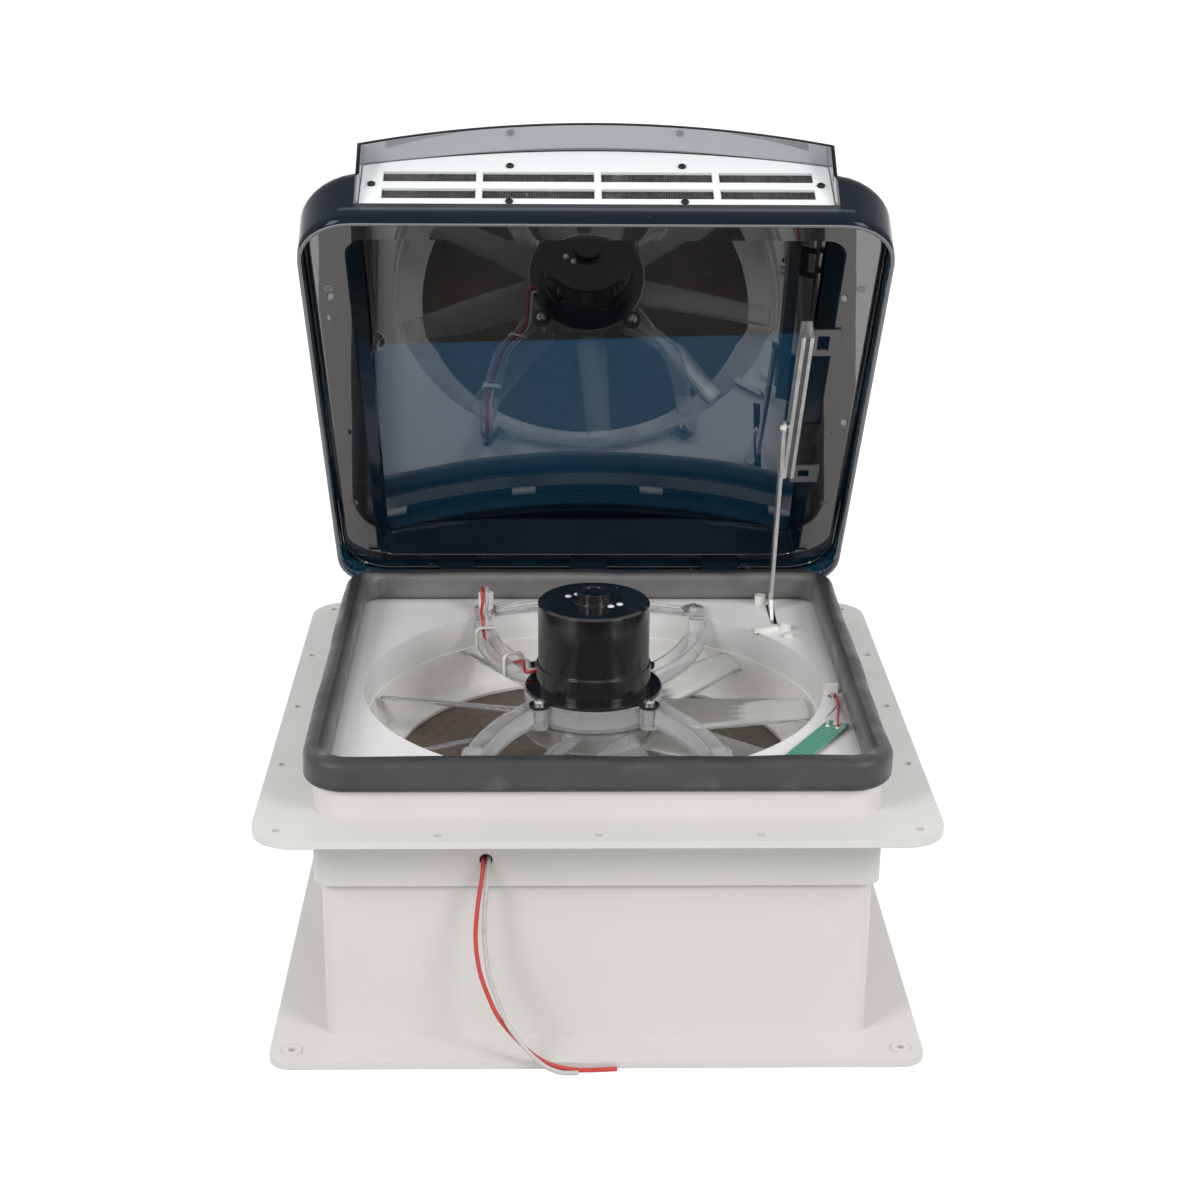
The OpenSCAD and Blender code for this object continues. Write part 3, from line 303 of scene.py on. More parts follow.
# %% Finishes
class Finish(Nodes):
    """A material under construction: a principled shader and the nodes that feed it."""

    def __init__(self, name, colour, roughness, **sockets):
        self.material = bpy.data.materials.new(name)
        super().__init__(self.material)
        self.shader = self.tree.nodes["Principled BSDF"]
        self.shader.inputs["Base Color"].default_value = (*colour, 1)
        self.shader.inputs["Roughness"].default_value = roughness
        for socket, value in sockets.items():
            self.shader.inputs[socket.replace("_", " ")].default_value = value
        self.where = self.add("ShaderNodeTexCoord").outputs["Object"]
        self.normal = None

    def stretched(self, scale):
        """The coordinates times a scale for each axis, for brushed or streaked patterns."""
        node = self.add("ShaderNodeMapping", Scale=scale)
        self.link(self.where, node.inputs["Vector"])
        return node.outputs["Vector"]

    def noise(self, scale, detail=3.0, roughness=0.5, where=None):
        node = self.add("ShaderNodeTexNoise", Scale=scale, Detail=detail, Roughness=roughness)
        self.link(where or self.where, node.inputs["Vector"])
        return node.outputs["Fac"]

    def range(self, value, low, high, to_low, to_high):
        """Maps the stretch from low to high onto to_low to to_high, and holds it outside."""
        node = self.add("ShaderNodeMapRange", From_Min=low, From_Max=high, To_Min=to_low, To_Max=to_high)
        self.link(value, node.inputs["Value"])
        return node.outputs["Result"]

    def clouds(self, scale, detail, low, high, to_low=0, to_high=1):
        """Noise, with the stretch from low to high mapped onto to_low to to_high."""
        return self.range(self.noise(scale, detail), low, high, to_low, to_high)

    def mix(self, factor, first, second):
        """A colour between two others; each is a tuple or another node's output."""
        node = self.add("ShaderNodeMix", data_type="RGBA")
        self.link(factor, node.inputs[0])
        for socket, value in ((6, first), (7, second)):
            if isinstance(value, tuple):
                node.inputs[socket].default_value = (*value, 1)
            else:
                self.link(value, node.inputs[socket])
        return node.outputs[2]

    def colour(self, out):
        self.link(out, self.shader.inputs["Base Color"])

    def gloss(self, out):
        self.link(out, self.shader.inputs["Roughness"])

    def soften(self, radius_mm):
        """Rounds the look of sharp edges: the normal is averaged over a small ball."""
        node = self.add("ShaderNodeBevel", samples=4, Radius=radius_mm / 1000)
        self.normal = node.outputs["Normal"]
        self.link(self.normal, self.shader.inputs["Normal"])

    def bump(self, height, distance_mm, strength=1.0):
        """Adds a bump; later bumps stack on earlier ones."""
        node = self.add("ShaderNodeBump", Strength=strength, Distance=distance_mm / 1000)
        self.link(height, node.inputs["Height"])
        if self.normal is not None:
            self.link(self.normal, node.inputs["Normal"])
        self.normal = node.outputs["Normal"]
        self.link(self.normal, self.shader.inputs["Normal"])


def dress(material, *names):
    """Puts one finish on CAD nodes, by name."""
    for name in names:
        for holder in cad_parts[name].material_slots:
            holder.material = material


def paint(piece, *materials):
    """Gives a new piece its materials, in the order of its faces' numbers."""
    for material in materials:
        piece.data.materials.append(material)


# %% [markdown]
# ### Moulded plastics
#
# The base and trim are injection moulded in a pale grey-white. Up close the surface has a fine spark-eroded
# grain, a slow unevenness where the melt flowed, and the odd dark fleck. The bump is a few hundredths of a
# millimetre, just enough to break up the highlight.


# %% Pale mouldings
COLLAR_INSIDE = (0.160, 0.166)


def shade(colour, factor):
    """The same colour, lighter or darker, and never over white."""
    return tuple(min(1.0, c * factor) for c in colour)


def drifting(finish, colour, drift):
    """A colour that wanders by a few percent either way, over some centimetres."""
    return finish.mix(finish.clouds(7, 4, 0.3, 0.7), shade(colour, 1 - drift), shade(colour, 1 + drift))


def square_reach(finish):
    """The larger of |X| and |Y|: how far out a point lies, measured squarely."""
    split = finish.add("ShaderNodeSeparateXYZ")
    finish.link(finish.where, split.inputs[0])
    across = finish.math("ABSOLUTE", split.outputs[0])
    return finish.math("MAXIMUM", across, finish.math("ABSOLUTE", split.outputs[1]))


def moulded(name, colour, roughness, drift=0.03, grain_mm=0.02, inside=None):
    """Pale plastic: the colour drifts by a few percent, the gloss varies, and a fine grain lifts the surface.
    Inside the collar it is painted a lighter colour: painted light, for the brighter light that falls there."""
    finish = Finish(name, colour, roughness)
    base = drifting(finish, colour, drift)
    if inside:
        # Painted light: inside the collar the colour turns to the lighter one.
        painted_light_inside = finish.range(square_reach(finish), *COLLAR_INSIDE, 1, 0)
        base = finish.mix(painted_light_inside, base, drifting(finish, inside, drift))
    fleck = finish.clouds(420, 2, 0.765, 0.785)
    finish.colour(finish.mix(fleck, base, shade(colour, 0.8)))
    finish.gloss(finish.clouds(60, 4, 0.3, 0.7, roughness - 0.06, roughness + 0.08))
    finish.soften(0.8)
    finish.bump(finish.noise(2600, 2), grain_mm, 0.35)
    finish.bump(finish.noise(12, 2), 0.25, 0.25)
    return finish.material


# The inside colour is painted light: everything inside the collar is painted lighter.
base = moulded("base_plastic", (0.665, 0.65, 0.63), 0.42, inside=(0.87, 0.855, 0.84))
dress(base, "roof_base", "hinge_stands")
dress(moulded("trim_plastic", (0.66, 0.64, 0.615), 0.45), "ceiling_trim")
dress(moulded("ring_plastic", (0.92, 0.90, 0.87), 0.36), "throat_ring")
clip_plastic = moulded("clip_plastic", (0.85, 0.84, 0.81), 0.4, drift=0.02)
dress(clip_plastic, "screen_clips", "slot_guard", "wire_post", "sensor_terminals", "sensor_clip")
louvre_plastic = moulded("louvre_plastic", (0.84, 0.86, 0.87), 0.18, drift=0.015, grain_mm=0.008)
dress(moulded("drive_plastic", (0.03, 0.03, 0.032), 0.45, drift=0.1), "lift_gearbox", "control_box")
dress(moulded("smoke_plastic", (0.13, 0.13, 0.135), 0.3, drift=0.06), "rail_brackets")
dress(moulded("block_plastic", (0.006, 0.006, 0.007), 0.2, drift=0.2, grain_mm=0.005), "rail_block")
dress(moulded("roller_plastic", (0.12, 0.12, 0.12), 0.4, drift=0.08), "arm_roller")

# %% [markdown]
# ### Metals and paint
#
# Zinc plating is a bright grey metal with a cloudy, slightly brushed gloss. The motor is black enamel: nearly
# black, very glossy, with orange-peel waves and specks of dust.


# %% Metals and paint
def plated(name, colour, roughness, brush=(60, 60, 900)):
    """Zinc-plated steel: full metal, a cloudy gloss and fine lines along one direction."""
    finish = Finish(name, colour, roughness, Metallic=1.0)
    cloud = finish.clouds(90, 5, 0.3, 0.7)
    finish.colour(finish.mix(cloud, shade(colour, 0.8), colour))
    lines = finish.noise(1, 4, where=finish.stretched(brush))
    finish.gloss(finish.range(lines, 0.3, 0.7, roughness * 0.7, roughness * 1.4))
    finish.bump(lines, 0.02, 0.3)
    return finish.material


zinc = plated("zinc", (0.74, 0.74, 0.72), 0.28)
lift_steel = plated("lift_steel", (0.93, 0.93, 0.91), 0.38, brush=(900, 40, 40))
# The darker plating serves the lid's screws, and it also paints shade into the rail's groove.
dark_zinc_and_groove_shade = plated("dark_zinc_and_groove_shade", (0.26, 0.26, 0.27), 0.3)
dress(zinc, "bracket_screws", "motor_screws", "motor_shaft", "hub_nut", "hinge_pin",
      "arm_pin", "arm_axle", "lift_motor")
dress(dark_zinc_and_groove_shade, "lid_screws")
dress(lift_steel, "lift_arm")

BLACK = (0.006, 0.006, 0.007)
enamel = Finish("black_enamel", BLACK, 0.12, IOR=1.6)
dust = enamel.clouds(900, 2, 0.72, 0.78)
enamel.colour(enamel.mix(dust, BLACK, (0.12, 0.12, 0.12)))
enamel.gloss(enamel.clouds(40, 4, 0.3, 0.7, 0.05, 0.18))
enamel.soften(0.7)
enamel.bump(enamel.noise(220, 2), 0.06, 0.35)
dress(enamel.material, "motor_can", "motor_plate", "motor_end_bell")

black_screw = Finish("black_screw", (0.02, 0.02, 0.022), 0.35, Metallic=0.6)
black_screw.gloss(black_screw.clouds(300, 3, 0.3, 0.7, 0.25, 0.5))
dress(black_screw.material, "louvre_screws")

# %% [markdown]
# ### Insulation and the circuit board
#
# Lead insulation is soft glossy plastic that marks easily, so its gloss is patchy. The rain sensor is a green
# board with two combs of bare tracks that interlock. The comb is drawn with a wave along the board, in the
# board's own direction, so a Mapping node turns the coordinates by the board's angle first.


# %% Insulation and board
def insulation(name, colour):
    """Soft plastic round a lead, with darker marks and a patchy gloss."""
    finish = Finish(name, colour, 0.32)
    mark = finish.clouds(160, 4, 0.55, 0.75)
    finish.colour(finish.mix(mark, colour, shade(colour, 0.72)))
    finish.gloss(finish.clouds(90, 3, 0.3, 0.7, 0.22, 0.42))
    finish.bump(finish.noise(500, 2), 0.03, 0.3)
    return finish.material


red_insulation = insulation("red_insulation", (0.52, 0.045, 0.035))
white_insulation = insulation("white_insulation", (0.50, 0.49, 0.47))
dress(red_insulation, "sensor_lead_red", "lead_stub_red")
dress(white_insulation, "sensor_lead_white", "lead_stub_white")
paint(free_leads["red"], red_insulation)
paint(free_leads["white"], white_insulation)

board = Finish("sensor_board", (0.012, 0.11, 0.055), 0.3, Coat_Weight=0.5)
BOARD_TURN, BOARD_PLACE = (0, 0, np.radians(-31)), (0.1375, -0.110, 0)
turned = board.add("ShaderNodeMapping", vector_type="TEXTURE", Rotation=BOARD_TURN, Location=BOARD_PLACE)
board.link(board.where, turned.inputs["Vector"])
comb = board.add("ShaderNodeTexWave", wave_type="BANDS", bands_direction="Y", Scale=95, Distortion=0.0)
board.link(turned.outputs["Vector"], comb.inputs["Vector"])
track = board.range(comb.outputs["Fac"], 0.55, 0.7, 0, 1)
board.colour(board.mix(track, (0.03, 0.25, 0.15), (0.17, 0.45, 0.33)))
board.bump(track, 0.05, 0.6)
dress(board.material, "rain_sensor_board")

# %% [markdown]
# ### Clear plastic
#
# The bracket and the fan are clear mouldings. Light bends as it goes in and out, so they are solid meshes with
# transmission, and their edges turn bright or dark by themselves. A trace of green-grey colour keeps thick
# parts from vanishing, and scuffs blur what is seen through them a little.


# %% Clear mouldings
def clear(name, tint, roughness, ior, clearness, soft_mm=0):
    """Clear plastic: mostly transmission, with scuffs in its gloss and faint waves."""
    finish = Finish(name, tint, roughness, Transmission_Weight=clearness, IOR=ior)
    finish.gloss(finish.clouds(30, 4, 0.35, 0.75, roughness, roughness + 0.10))
    if soft_mm:
        finish.soften(soft_mm)
    finish.bump(finish.noise(140, 3), 0.05, 0.25)
    return finish.material


bracket_clear = clear("bracket_clear", (0.985, 0.99, 0.99), 0.02, 1.45, 0.78)
fan_clear = clear("fan_clear", (0.97, 0.975, 0.97), 0.02, 1.42, 0.88, soft_mm=3)
dress(bracket_clear, "motor_bracket")
dress(fan_clear, "fan_rotor")

# %% [markdown]
# ### Dark acrylic
#
# The lid is vacuum formed from dark blue, see-through sheet. Outside it looks nearly black with sharp
# reflections. Inside, daylight through the roof of the lid shows as blue, but not in the raised scoop, where
# the panel behind it blocks the light. So the inside has its own finish, whose blue depends on the place in
# the lid. The lid leans by 54 degrees at rest, and a Mapping node turns the coordinates into the lid's own.


# %% Dark acrylic
HINGE = np.array([0.0, 194.0, 182.0])
LID_OPEN = np.radians(54)


def lid_point(x, s, n):
    """A point of the lid: x along the hinge, s from the hinge towards the lid's front, n up from its rim."""
    x, s, n = np.broadcast_arrays(x, s, n)
    return np.stack(
        [
            HINGE[0] + x,
            HINGE[1] - s * np.cos(LID_OPEN) + n * np.sin(LID_OPEN),
            HINGE[2] + s * np.sin(LID_OPEN) + n * np.cos(LID_OPEN),
        ],
        -1,
    )


def in_lid(finish):
    """Object coordinates turned into the lid's own: X stays, Y is minus s, Z is n, in metres."""
    place, lean = tuple(HINGE / 1000), (-LID_OPEN, 0, 0)
    node = finish.add("ShaderNodeMapping", vector_type="TEXTURE", Location=place, Rotation=lean)
    finish.link(finish.where, node.inputs["Vector"])
    return node.outputs["Vector"]


def lid_axes(finish):
    """The lid's own X, Y and Z, one output each."""
    split = finish.add("ShaderNodeSeparateXYZ")
    finish.link(in_lid(finish), split.inputs["Vector"])
    return split.outputs


def flatten_across(finish):
    """The roof's normals lose their share across X: kept where |X| is over 0.6, as on walls, gone below 0.3.
    The real roof mirrors its surroundings true to size across the width, as flat sheet does."""
    split = finish.add("ShaderNodeSeparateXYZ")
    finish.link(finish.add("ShaderNodeTexCoord").outputs["Normal"], split.inputs[0])
    keep = finish.range(finish.math("ABSOLUTE", split.outputs[0]), 0.3, 0.6, 0, 1)
    merged = finish.add("ShaderNodeCombineXYZ")
    finish.link(finish.math("MULTIPLY", split.outputs[0], keep), merged.inputs[0])
    finish.link(split.outputs[1], merged.inputs[1])
    finish.link(split.outputs[2], merged.inputs[2])
    turned = finish.add("ShaderNodeVectorTransform", vector_type="NORMAL",
                        convert_from="OBJECT", convert_to="WORLD")
    finish.link(merged.outputs[0], turned.inputs[0])
    finish.normal = turned.outputs[0]


CREASE_BOW, CREASE_TILT, CREASE_REACH = 0.72, 0.042, 145
# NAVY is the sheet's own colour; DEEP_BLUE and SKY_BLUE are painted daylight seen through it.
NAVY, DEEP_BLUE, SKY_BLUE = (0.003, 0.009, 0.016), (0.008, 0.042, 0.078), (0.014, 0.074, 0.150)
OUTSIDE, SCRATCH = (0.003, 0.009, 0.018), (0.30, 0.33, 0.35)

# %% [markdown]
# The outside is even, but for specks and a thin lighter line along the front wall, 12.5 mm above the rim,
# which is a painted highlight.

# %% Outside of the lid
outer = Finish("lid_outside", OUTSIDE, 0.05, IOR=1.24)
outer.gloss(outer.clouds(25, 4, 0.35, 0.75, 0.05, 0.09))
outer.bump(outer.noise(9, 2), 0.5, 0.12)
axes = lid_axes(outer)
# Painted highlight: a thin lighter line on the front wall, 12.5 mm above the rim.
from_line = outer.math("ABSOLUTE", outer.math("SUBTRACT", axes["Z"], 0.0125))
front = outer.range(axes["Y"], -0.3832, -0.3828, 1, 0)
line = outer.math("MULTIPLY", outer.range(from_line, 0.0007, 0.0016, 1, 0), front)
with_painted_highlight = outer.mix(line, OUTSIDE, (0.04, 0.052, 0.065))
outer.colour(outer.mix(outer.clouds(700, 2, 0.74, 0.77), with_painted_highlight, (0.10, 0.11, 0.12)))
dress(outer.material, "lid_hinge_leaf")

# %% [markdown]
# The inside is laid on in steps, each one a colour over the last, mostly painted light: blue where the roof lets
# daylight in, lighter towards the front, a black painted shade in the scoop past its bowed foot, navy at the
# back, a patchy painted daylight blue on the wall below the ledge, and a pale grey painted for the mouth's full
# light.

# %% Inside of the lid
inner = Finish("lid_inside", NAVY, 0.015, IOR=2.6)
flatten_across(inner)
inner.bump(inner.noise(9, 2), 0.4, 0.1)
axes = lid_axes(inner)
x, y, z = axes["X"], axes["Y"], axes["Z"]
crease = inner.math("MULTIPLY", x, inner.math("ADD", inner.math("MULTIPLY", x, CREASE_BOW), CREASE_TILT))
# Painted light and shade: the daylight blue ends at the scoop's bowed foot, and past it lies a near black
# painted shade.
lit = inner.range(inner.math("ADD", y, crease), -0.2035, -0.2025, 0, 1)
daylight = inner.mix(inner.range(y, -0.105, -0.060, 0, 1), SKY_BLUE, DEEP_BLUE)
tone = inner.mix(lit, (0.006, 0.007, 0.009), daylight)
bow = inner.math("MULTIPLY", inner.math("MULTIPLY", x, x), 0.62)
tone = inner.mix(inner.range(inner.math("SUBTRACT", bow, y), 0.0305, 0.0315, 0, 1), NAVY, tone)
# The wall below the ledge gets a patchy blue of painted daylight.
painted_wall_daylight = inner.math("MAXIMUM", inner.clouds(5, 2, 0.45, 0.65), inner.range(y, -0.060, -0.010, 0, 1))
wall_tone = inner.mix(painted_wall_daylight, NAVY, (0.004, 0.048, 0.090))
tone = inner.mix(inner.range(z, 0.0140, 0.0150, 1, 0), tone, wall_tone)
# The mouth's pale grey is painted light, for the full light it stands in.
mouth = inner.math("MULTIPLY", inner.range(y, -0.367, -0.366, 1, 0), inner.range(z, 0.0185, 0.0195, 0, 1))
between = inner.range(inner.math("ABSOLUTE", x), 0.1498, 0.1502, 1, 0)
tone = inner.mix(inner.math("MULTIPLY", mouth, between), tone, (0.30, 0.31, 0.32))
inner.colour(inner.mix(inner.clouds(800, 2, 0.75, 0.78), tone, SCRATCH))

rim = Finish("lid_rim", NAVY, 0.2, IOR=1.22)
# Painted highlight: the rim's lowest few millimetres are painted pale grey, a light line along the sheet's edge.
above = rim.range(lid_axes(rim)["Z"], 0.002, 0.004, 0, 1)
rim.colour(rim.mix(above, (0.24, 0.25, 0.26), (0.004, 0.009, 0.015)))
rim.gloss(rim.clouds(200, 3, 0.3, 0.7, 0.12, 0.3))

# %% [markdown]
# The liner's ledge has four round dimples, drawn as a bump where the distance to a dimple's middle is small.
# Its wall is hazier than the rest.

# %% Liner
LEDGE = 14.95
DIMPLES = [(sx * 172.5, at) for sx in (-1, 1) for at in (280.0, 160.0)]
liner = Finish("liner_inside", NAVY, 0.015, IOR=2.6)
liner.bump(liner.noise(14, 2), 0.8, 0.16)
along_lid = in_lid(liner)
dents = 0.0
for x, at in DIMPLES:
    away = liner.add("ShaderNodeVectorMath", operation="DISTANCE")
    liner.link(along_lid, away.inputs[0])
    away.inputs[1].default_value = (x / 1000, -at / 1000, 0.0148)
    dents = liner.math("ADD", liner.range(away.outputs["Value"], 0.0015, 0.0035, 1, 0), dents)
liner.bump(dents, 0.3, 0.25)
liner.colour(liner.mix(liner.clouds(800, 2, 0.74, 0.77), (0.004, 0.007, 0.010), (0.3, 0.33, 0.35)))

liner_wall = Finish("liner_wall", NAVY, 0.12, IOR=1.25)
liner_wall.bump(liner_wall.noise(14, 2), 0.5, 0.1)
haze = liner_wall.clouds(9, 3, 0.35, 0.7)
liner_wall.colour(liner_wall.mix(haze, (0.003, 0.008, 0.014), (0.006, 0.016, 0.026)))

# %% [markdown]
# ### Cloth, wire and rubber
#
# The louvre's gauze is dark plastic and the insect screen is pale wire. The rubber is nearly black outside,
# with scuffs drawn out along its length, and lighter where it faces the fan, which is painted sheen.


# %% Cloth, wire and rubber
def thread(name, roughness, scale, dark, light, metallic=0.0):
    """Thin wire or thread, whose colour wanders between a dark and a light one."""
    finish = Finish(name, dark, roughness, Metallic=metallic)
    finish.colour(finish.mix(finish.clouds(scale, 3, 0.3, 0.7), dark, light))
    return finish.material


cloth_thread = thread("louvre_cloth", 0.6, 300, (0.035, 0.035, 0.034), (0.10, 0.10, 0.095))
screen_wire = thread("screen_wire", 0.5, 200, (0.25, 0.20, 0.155), (0.42, 0.345, 0.275), metallic=0.2)

rubber = Finish("seal_rubber", (0.035, 0.035, 0.037), 0.42)
cloud = rubber.range(rubber.noise(24, 5, 0.6), 0.3, 0.7, 0, 1)
scuff = rubber.range(rubber.noise(1, 5, where=rubber.stretched((30, 260, 30))), 0.58, 0.75, 0, 1)
inside = rubber.range(square_reach(rubber), 0.1665, 0.1700, 1, 0)
# Painted sheen: the seal's inner faces are painted a lighter grey.
painted_sheen = rubber.mix(cloud, (0.12, 0.118, 0.115), (0.18, 0.178, 0.175))
plain = rubber.mix(cloud, (0.026, 0.026, 0.027), (0.038, 0.038, 0.039))
rubber.colour(rubber.mix(scuff, rubber.mix(inside, plain, painted_sheen), (0.08, 0.08, 0.08)))
rubber.gloss(rubber.clouds(45, 5, 0.3, 0.7, 0.3, 0.55))
rubber.bump(rubber.noise(1500, 2), 0.05, 0.4)
rubber.bump(rubber.noise(55, 4), 0.5, 0.35)

# %% [markdown]
# ## The lid
#
# The lid is one sheet of acrylic, so its outside is worked out as a surface and then given a thickness. In the
# lid's own coordinates its crown is an arc across the width, with a slight fall to the front and back. A wall
# runs round a rounded rectangle, and a shoulder of 10 mm joins wall and crown. The scoop is a second roof that
# leaves the first along a bowed line and rises 7 degrees to an open mouth in front.

# %% The lid's measures and its two roofs, in millimetres
LID_BACK, LID_FRONT = -10.5, 384.0
CORNER_AT, CORNER_BACK, CORNER_FRONT = 152.5, 25.5, 348.0
WALL_OUT, ROOF_OUT, SHOULDER = 36.0, 26.0, 10.0
CROWN, CROWN_RADIUS, SCOOP_RADIUS = 66.5, 840.0, 605.0
SCOOP_HALF, SCOOP_BACK, SILL = 151.5, 203.0, 17.0


def drop(x, radius):
    """How far an arc through the top falls at x: R minus the root of R squared less x squared."""
    return radius - np.sqrt(radius**2 - np.square(x))


def roof(x, s):
    """Height of the main roof: the crown's arc, less a fall of 5 degrees behind and a parabola in front."""
    behind, ahead = np.maximum(SCOOP_BACK - s, 0), np.maximum(s - SCOOP_BACK, 0)
    return CROWN - drop(x, CROWN_RADIUS) - behind * np.tan(np.radians(5)) - ahead**2 / 8000


def scoop_roof(x, s):
    """Height of the scoop: it leaves the roof at s = 203, rises 7 degrees and bends more towards the mouth."""
    way = (s - SCOOP_BACK) / (LID_FRONT - SCOOP_BACK)
    bend = (1 - way) / CROWN_RADIUS + way / SCOOP_RADIUS
    return roof(0, SCOOP_BACK) + (s - SCOOP_BACK) * np.tan(np.radians(7)) - drop(x, 1 / bend)


# %% [markdown]
# All patches share the same sample lines, so that their edges meet point for point. The scoop has the roof's
# rows from its start on, and then the shoulder's steps out to the mouth.

# %% Shared sample lines
quarter = np.radians(np.linspace(0, 90, 9))
shoulder = np.radians(np.linspace(0, 90, 8))
rows = np.concatenate([
    CORNER_BACK - ROOF_OUT * np.sin(quarter[::-1]),
    np.linspace(CORNER_BACK, SCOOP_BACK, 22)[1:],
    np.linspace(SCOOP_BACK, CORNER_FRONT, 20)[1:],
    CORNER_FRONT + ROOF_OUT * np.sin(quarter[1:]),
])
bulge = np.concatenate([np.cos(quarter[::-1]), np.ones(40), np.cos(quarter[1:])])
half_width = CORNER_AT + ROOF_OUT * bulge
strip = np.linspace(0, 1, 4)
middle = np.linspace(-SCOOP_HALF, SCOOP_HALF, 61)
across = np.concatenate([middle, SCOOP_HALF + strip[1:] * (CORNER_AT - SCOOP_HALF)])
across = np.concatenate([-SCOOP_HALF - strip[:0:-1] * (CORNER_AT - SCOOP_HALF), across])
scoop_row = int(np.argmin(np.abs(rows - SCOOP_BACK)))
scoop_rows = np.append(rows[scoop_row:], CORNER_FRONT + ROOF_OUT + SHOULDER * np.cos(shoulder[-2::-1]))
print("rows", len(rows), "widths", len(half_width), "columns", len(across))

# %% [markdown]
# Five patches make the shell: the roof, the wall and shoulder all round, the scoop's roof, and its two cheeks.
# Each is a grid of (x, s, n). The quads that the scoop's mouth replaces are simply left out of the lists.


# %% Patches of the shell
def roof_patch():
    """Rows run from side to side: strip, middle, strip, where the strips reach the rounded outline."""
    side = SCOOP_HALF + strip[1:] * (half_width[:, None] - SCOOP_HALF)
    x = np.concatenate([-side[:, ::-1], np.tile(middle, (len(rows), 1)), side], axis=1)
    s = np.broadcast_to(rows[:, None], x.shape)
    quads = grid_quads(*x.shape).reshape(len(rows) - 1, x.shape[1] - 1, 4)
    keep = np.ones(quads.shape[:2], bool)
    keep[scoop_row:, 3:-3] = False
    return np.stack([x, s, roof(x, s)], -1), quads[keep]


def rim_walk():
    """The outline's base points and normals, in the order right, front, left, back, sampled like the roof."""
    straight = rows[8:-8]
    parts = []
    for start, (sx, ss) in enumerate([(1, 1), (-1, 1), (-1, -1), (1, -1)]):
        corner = (sx * CORNER_AT, CORNER_FRONT if ss > 0 else CORNER_BACK)
        turn = np.pi / 2 * start + quarter
        normal = np.stack([np.cos(turn), np.sin(turn)], -1)
        if start in (0, 2):
            along = straight if start == 0 else straight[::-1]
            side = np.stack([np.full(len(along), corner[0]), along], -1)
        else:
            along = across[::-1] if start == 1 else across
            side = np.stack([along, np.full(len(along), corner[1])], -1)
        parts.append((side[1:-1], np.tile(normal[0], (len(side) - 2, 1))))
        parts.append((np.tile(corner, (len(turn), 1)), normal))
    return np.concatenate([p[0] for p in parts]), np.concatenate([p[1] for p in parts])


def wall_patch():
    """Up the wall from the rim, then round the shoulder: out = 26 + 10 cos a, up = roof - 10 + 10 sin a."""
    base, normal = rim_walk()
    levels = []
    foot = base + WALL_OUT * normal
    spring = roof(foot[:, 0], foot[:, 1]) - SHOULDER
    for height in (0.0, SILL / 2, SILL):
        levels.append(np.column_stack([foot, np.full(len(foot), height)]))
    for t in np.linspace(0, 1, 6)[1:]:
        levels.append(np.column_stack([foot, (1 - t) * SILL + t * spring]))
    for a in shoulder[1:]:
        place = base + (ROOF_OUT + SHOULDER * np.cos(a)) * normal
        top = roof(place[:, 0], place[:, 1]) - SHOULDER * (1 - np.sin(a))
        levels.append(np.column_stack([place, top]))
    points = np.stack(levels)
    quads = grid_quads(*points.shape[:2], close_columns=True).reshape(len(levels) - 1, -1, 4)
    centre = (base + np.roll(base, -1, axis=0)) / 2
    in_front = (normal[:, 1] > 0.999) & (np.roll(normal, -1, 0)[:, 1] > 0.999)
    keep = np.ones(quads.shape[:2], bool)
    keep[2:, in_front & (np.abs(centre[:, 0]) < SCOOP_HALF)] = False
    return points, quads[keep]


def scoop_patch():
    """The scoop's roof, over the middle columns."""
    x, s = np.meshgrid(middle, scoop_rows)
    return np.stack([x, s, scoop_roof(x, s)], -1), grid_quads(*x.shape)


def cheek_patch(side):
    """A side of the scoop: from the main roof, or its front shoulder, up to the scoop's roof."""
    x = np.full(len(scoop_rows), side * SCOOP_HALF)
    low = roof(x, scoop_rows)
    low[-len(shoulder) + 1 :] -= SHOULDER * (1 - np.sin(shoulder[-2::-1]))
    t = np.linspace(0, 1, 6)[:, None]
    n = (1 - t) * low + t * scoop_roof(x, scoop_rows)
    return np.stack(np.broadcast_arrays(x, scoop_rows, n), -1), grid_quads(*n.shape)


# %% [markdown]
# Where patches meet, their doubled points are merged. The sheet is 2.5 mm thick, and its inner faces and its
# rim have finishes of their own.


# %% Join the patches into the lid's shell
def crease_shift(x, s):
    """The scoop's foot isn't quite straight: it bows forwards at its ends, and less so on the left. The shift
    is bow * x squared + tilt * x, and fades evenly to nothing before and behind the foot."""
    x = np.clip(x, -SCOOP_HALF, SCOOP_HALF)
    fade = np.clip(1 - np.abs(s - SCOOP_BACK) / CREASE_REACH, 0, 1)
    return (CREASE_BOW / 1000 * x**2 + CREASE_TILT * x) * fade


def joined(patches, bent=False):
    """Puts grids of (x, s, n) end to end, numbers their quads on, and turns them into places in millimetres."""
    points, quads, count = [], [], 0
    for grid, faces in patches:
        flat = grid.reshape(-1, 3)
        points.append(flat)
        quads.append(faces + count)
        count += len(flat)
    x, s, n = np.concatenate(points).T
    if bent:
        s = s + crease_shift(x, s)
    return lid_point(x, s, n), np.concatenate(quads)


patches = [roof_patch(), wall_patch(), scoop_patch(), cheek_patch(1), cheek_patch(-1)]
points, quads = joined(patches, bent=True)
shell = make_mesh("lid_shell_sheet", points, quads, "lid", weld=0.02)
shell.data.set_sharp_from_angle(angle=np.radians(38))
paint(shell, outer.material, inner.material, rim.material)
thicken(shell, 2.5, use_even_offset=True, material_offset=1, material_offset_rim=2)
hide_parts("lid_shell")
print("lid shell:", len(shell.data.polygons), "faces")

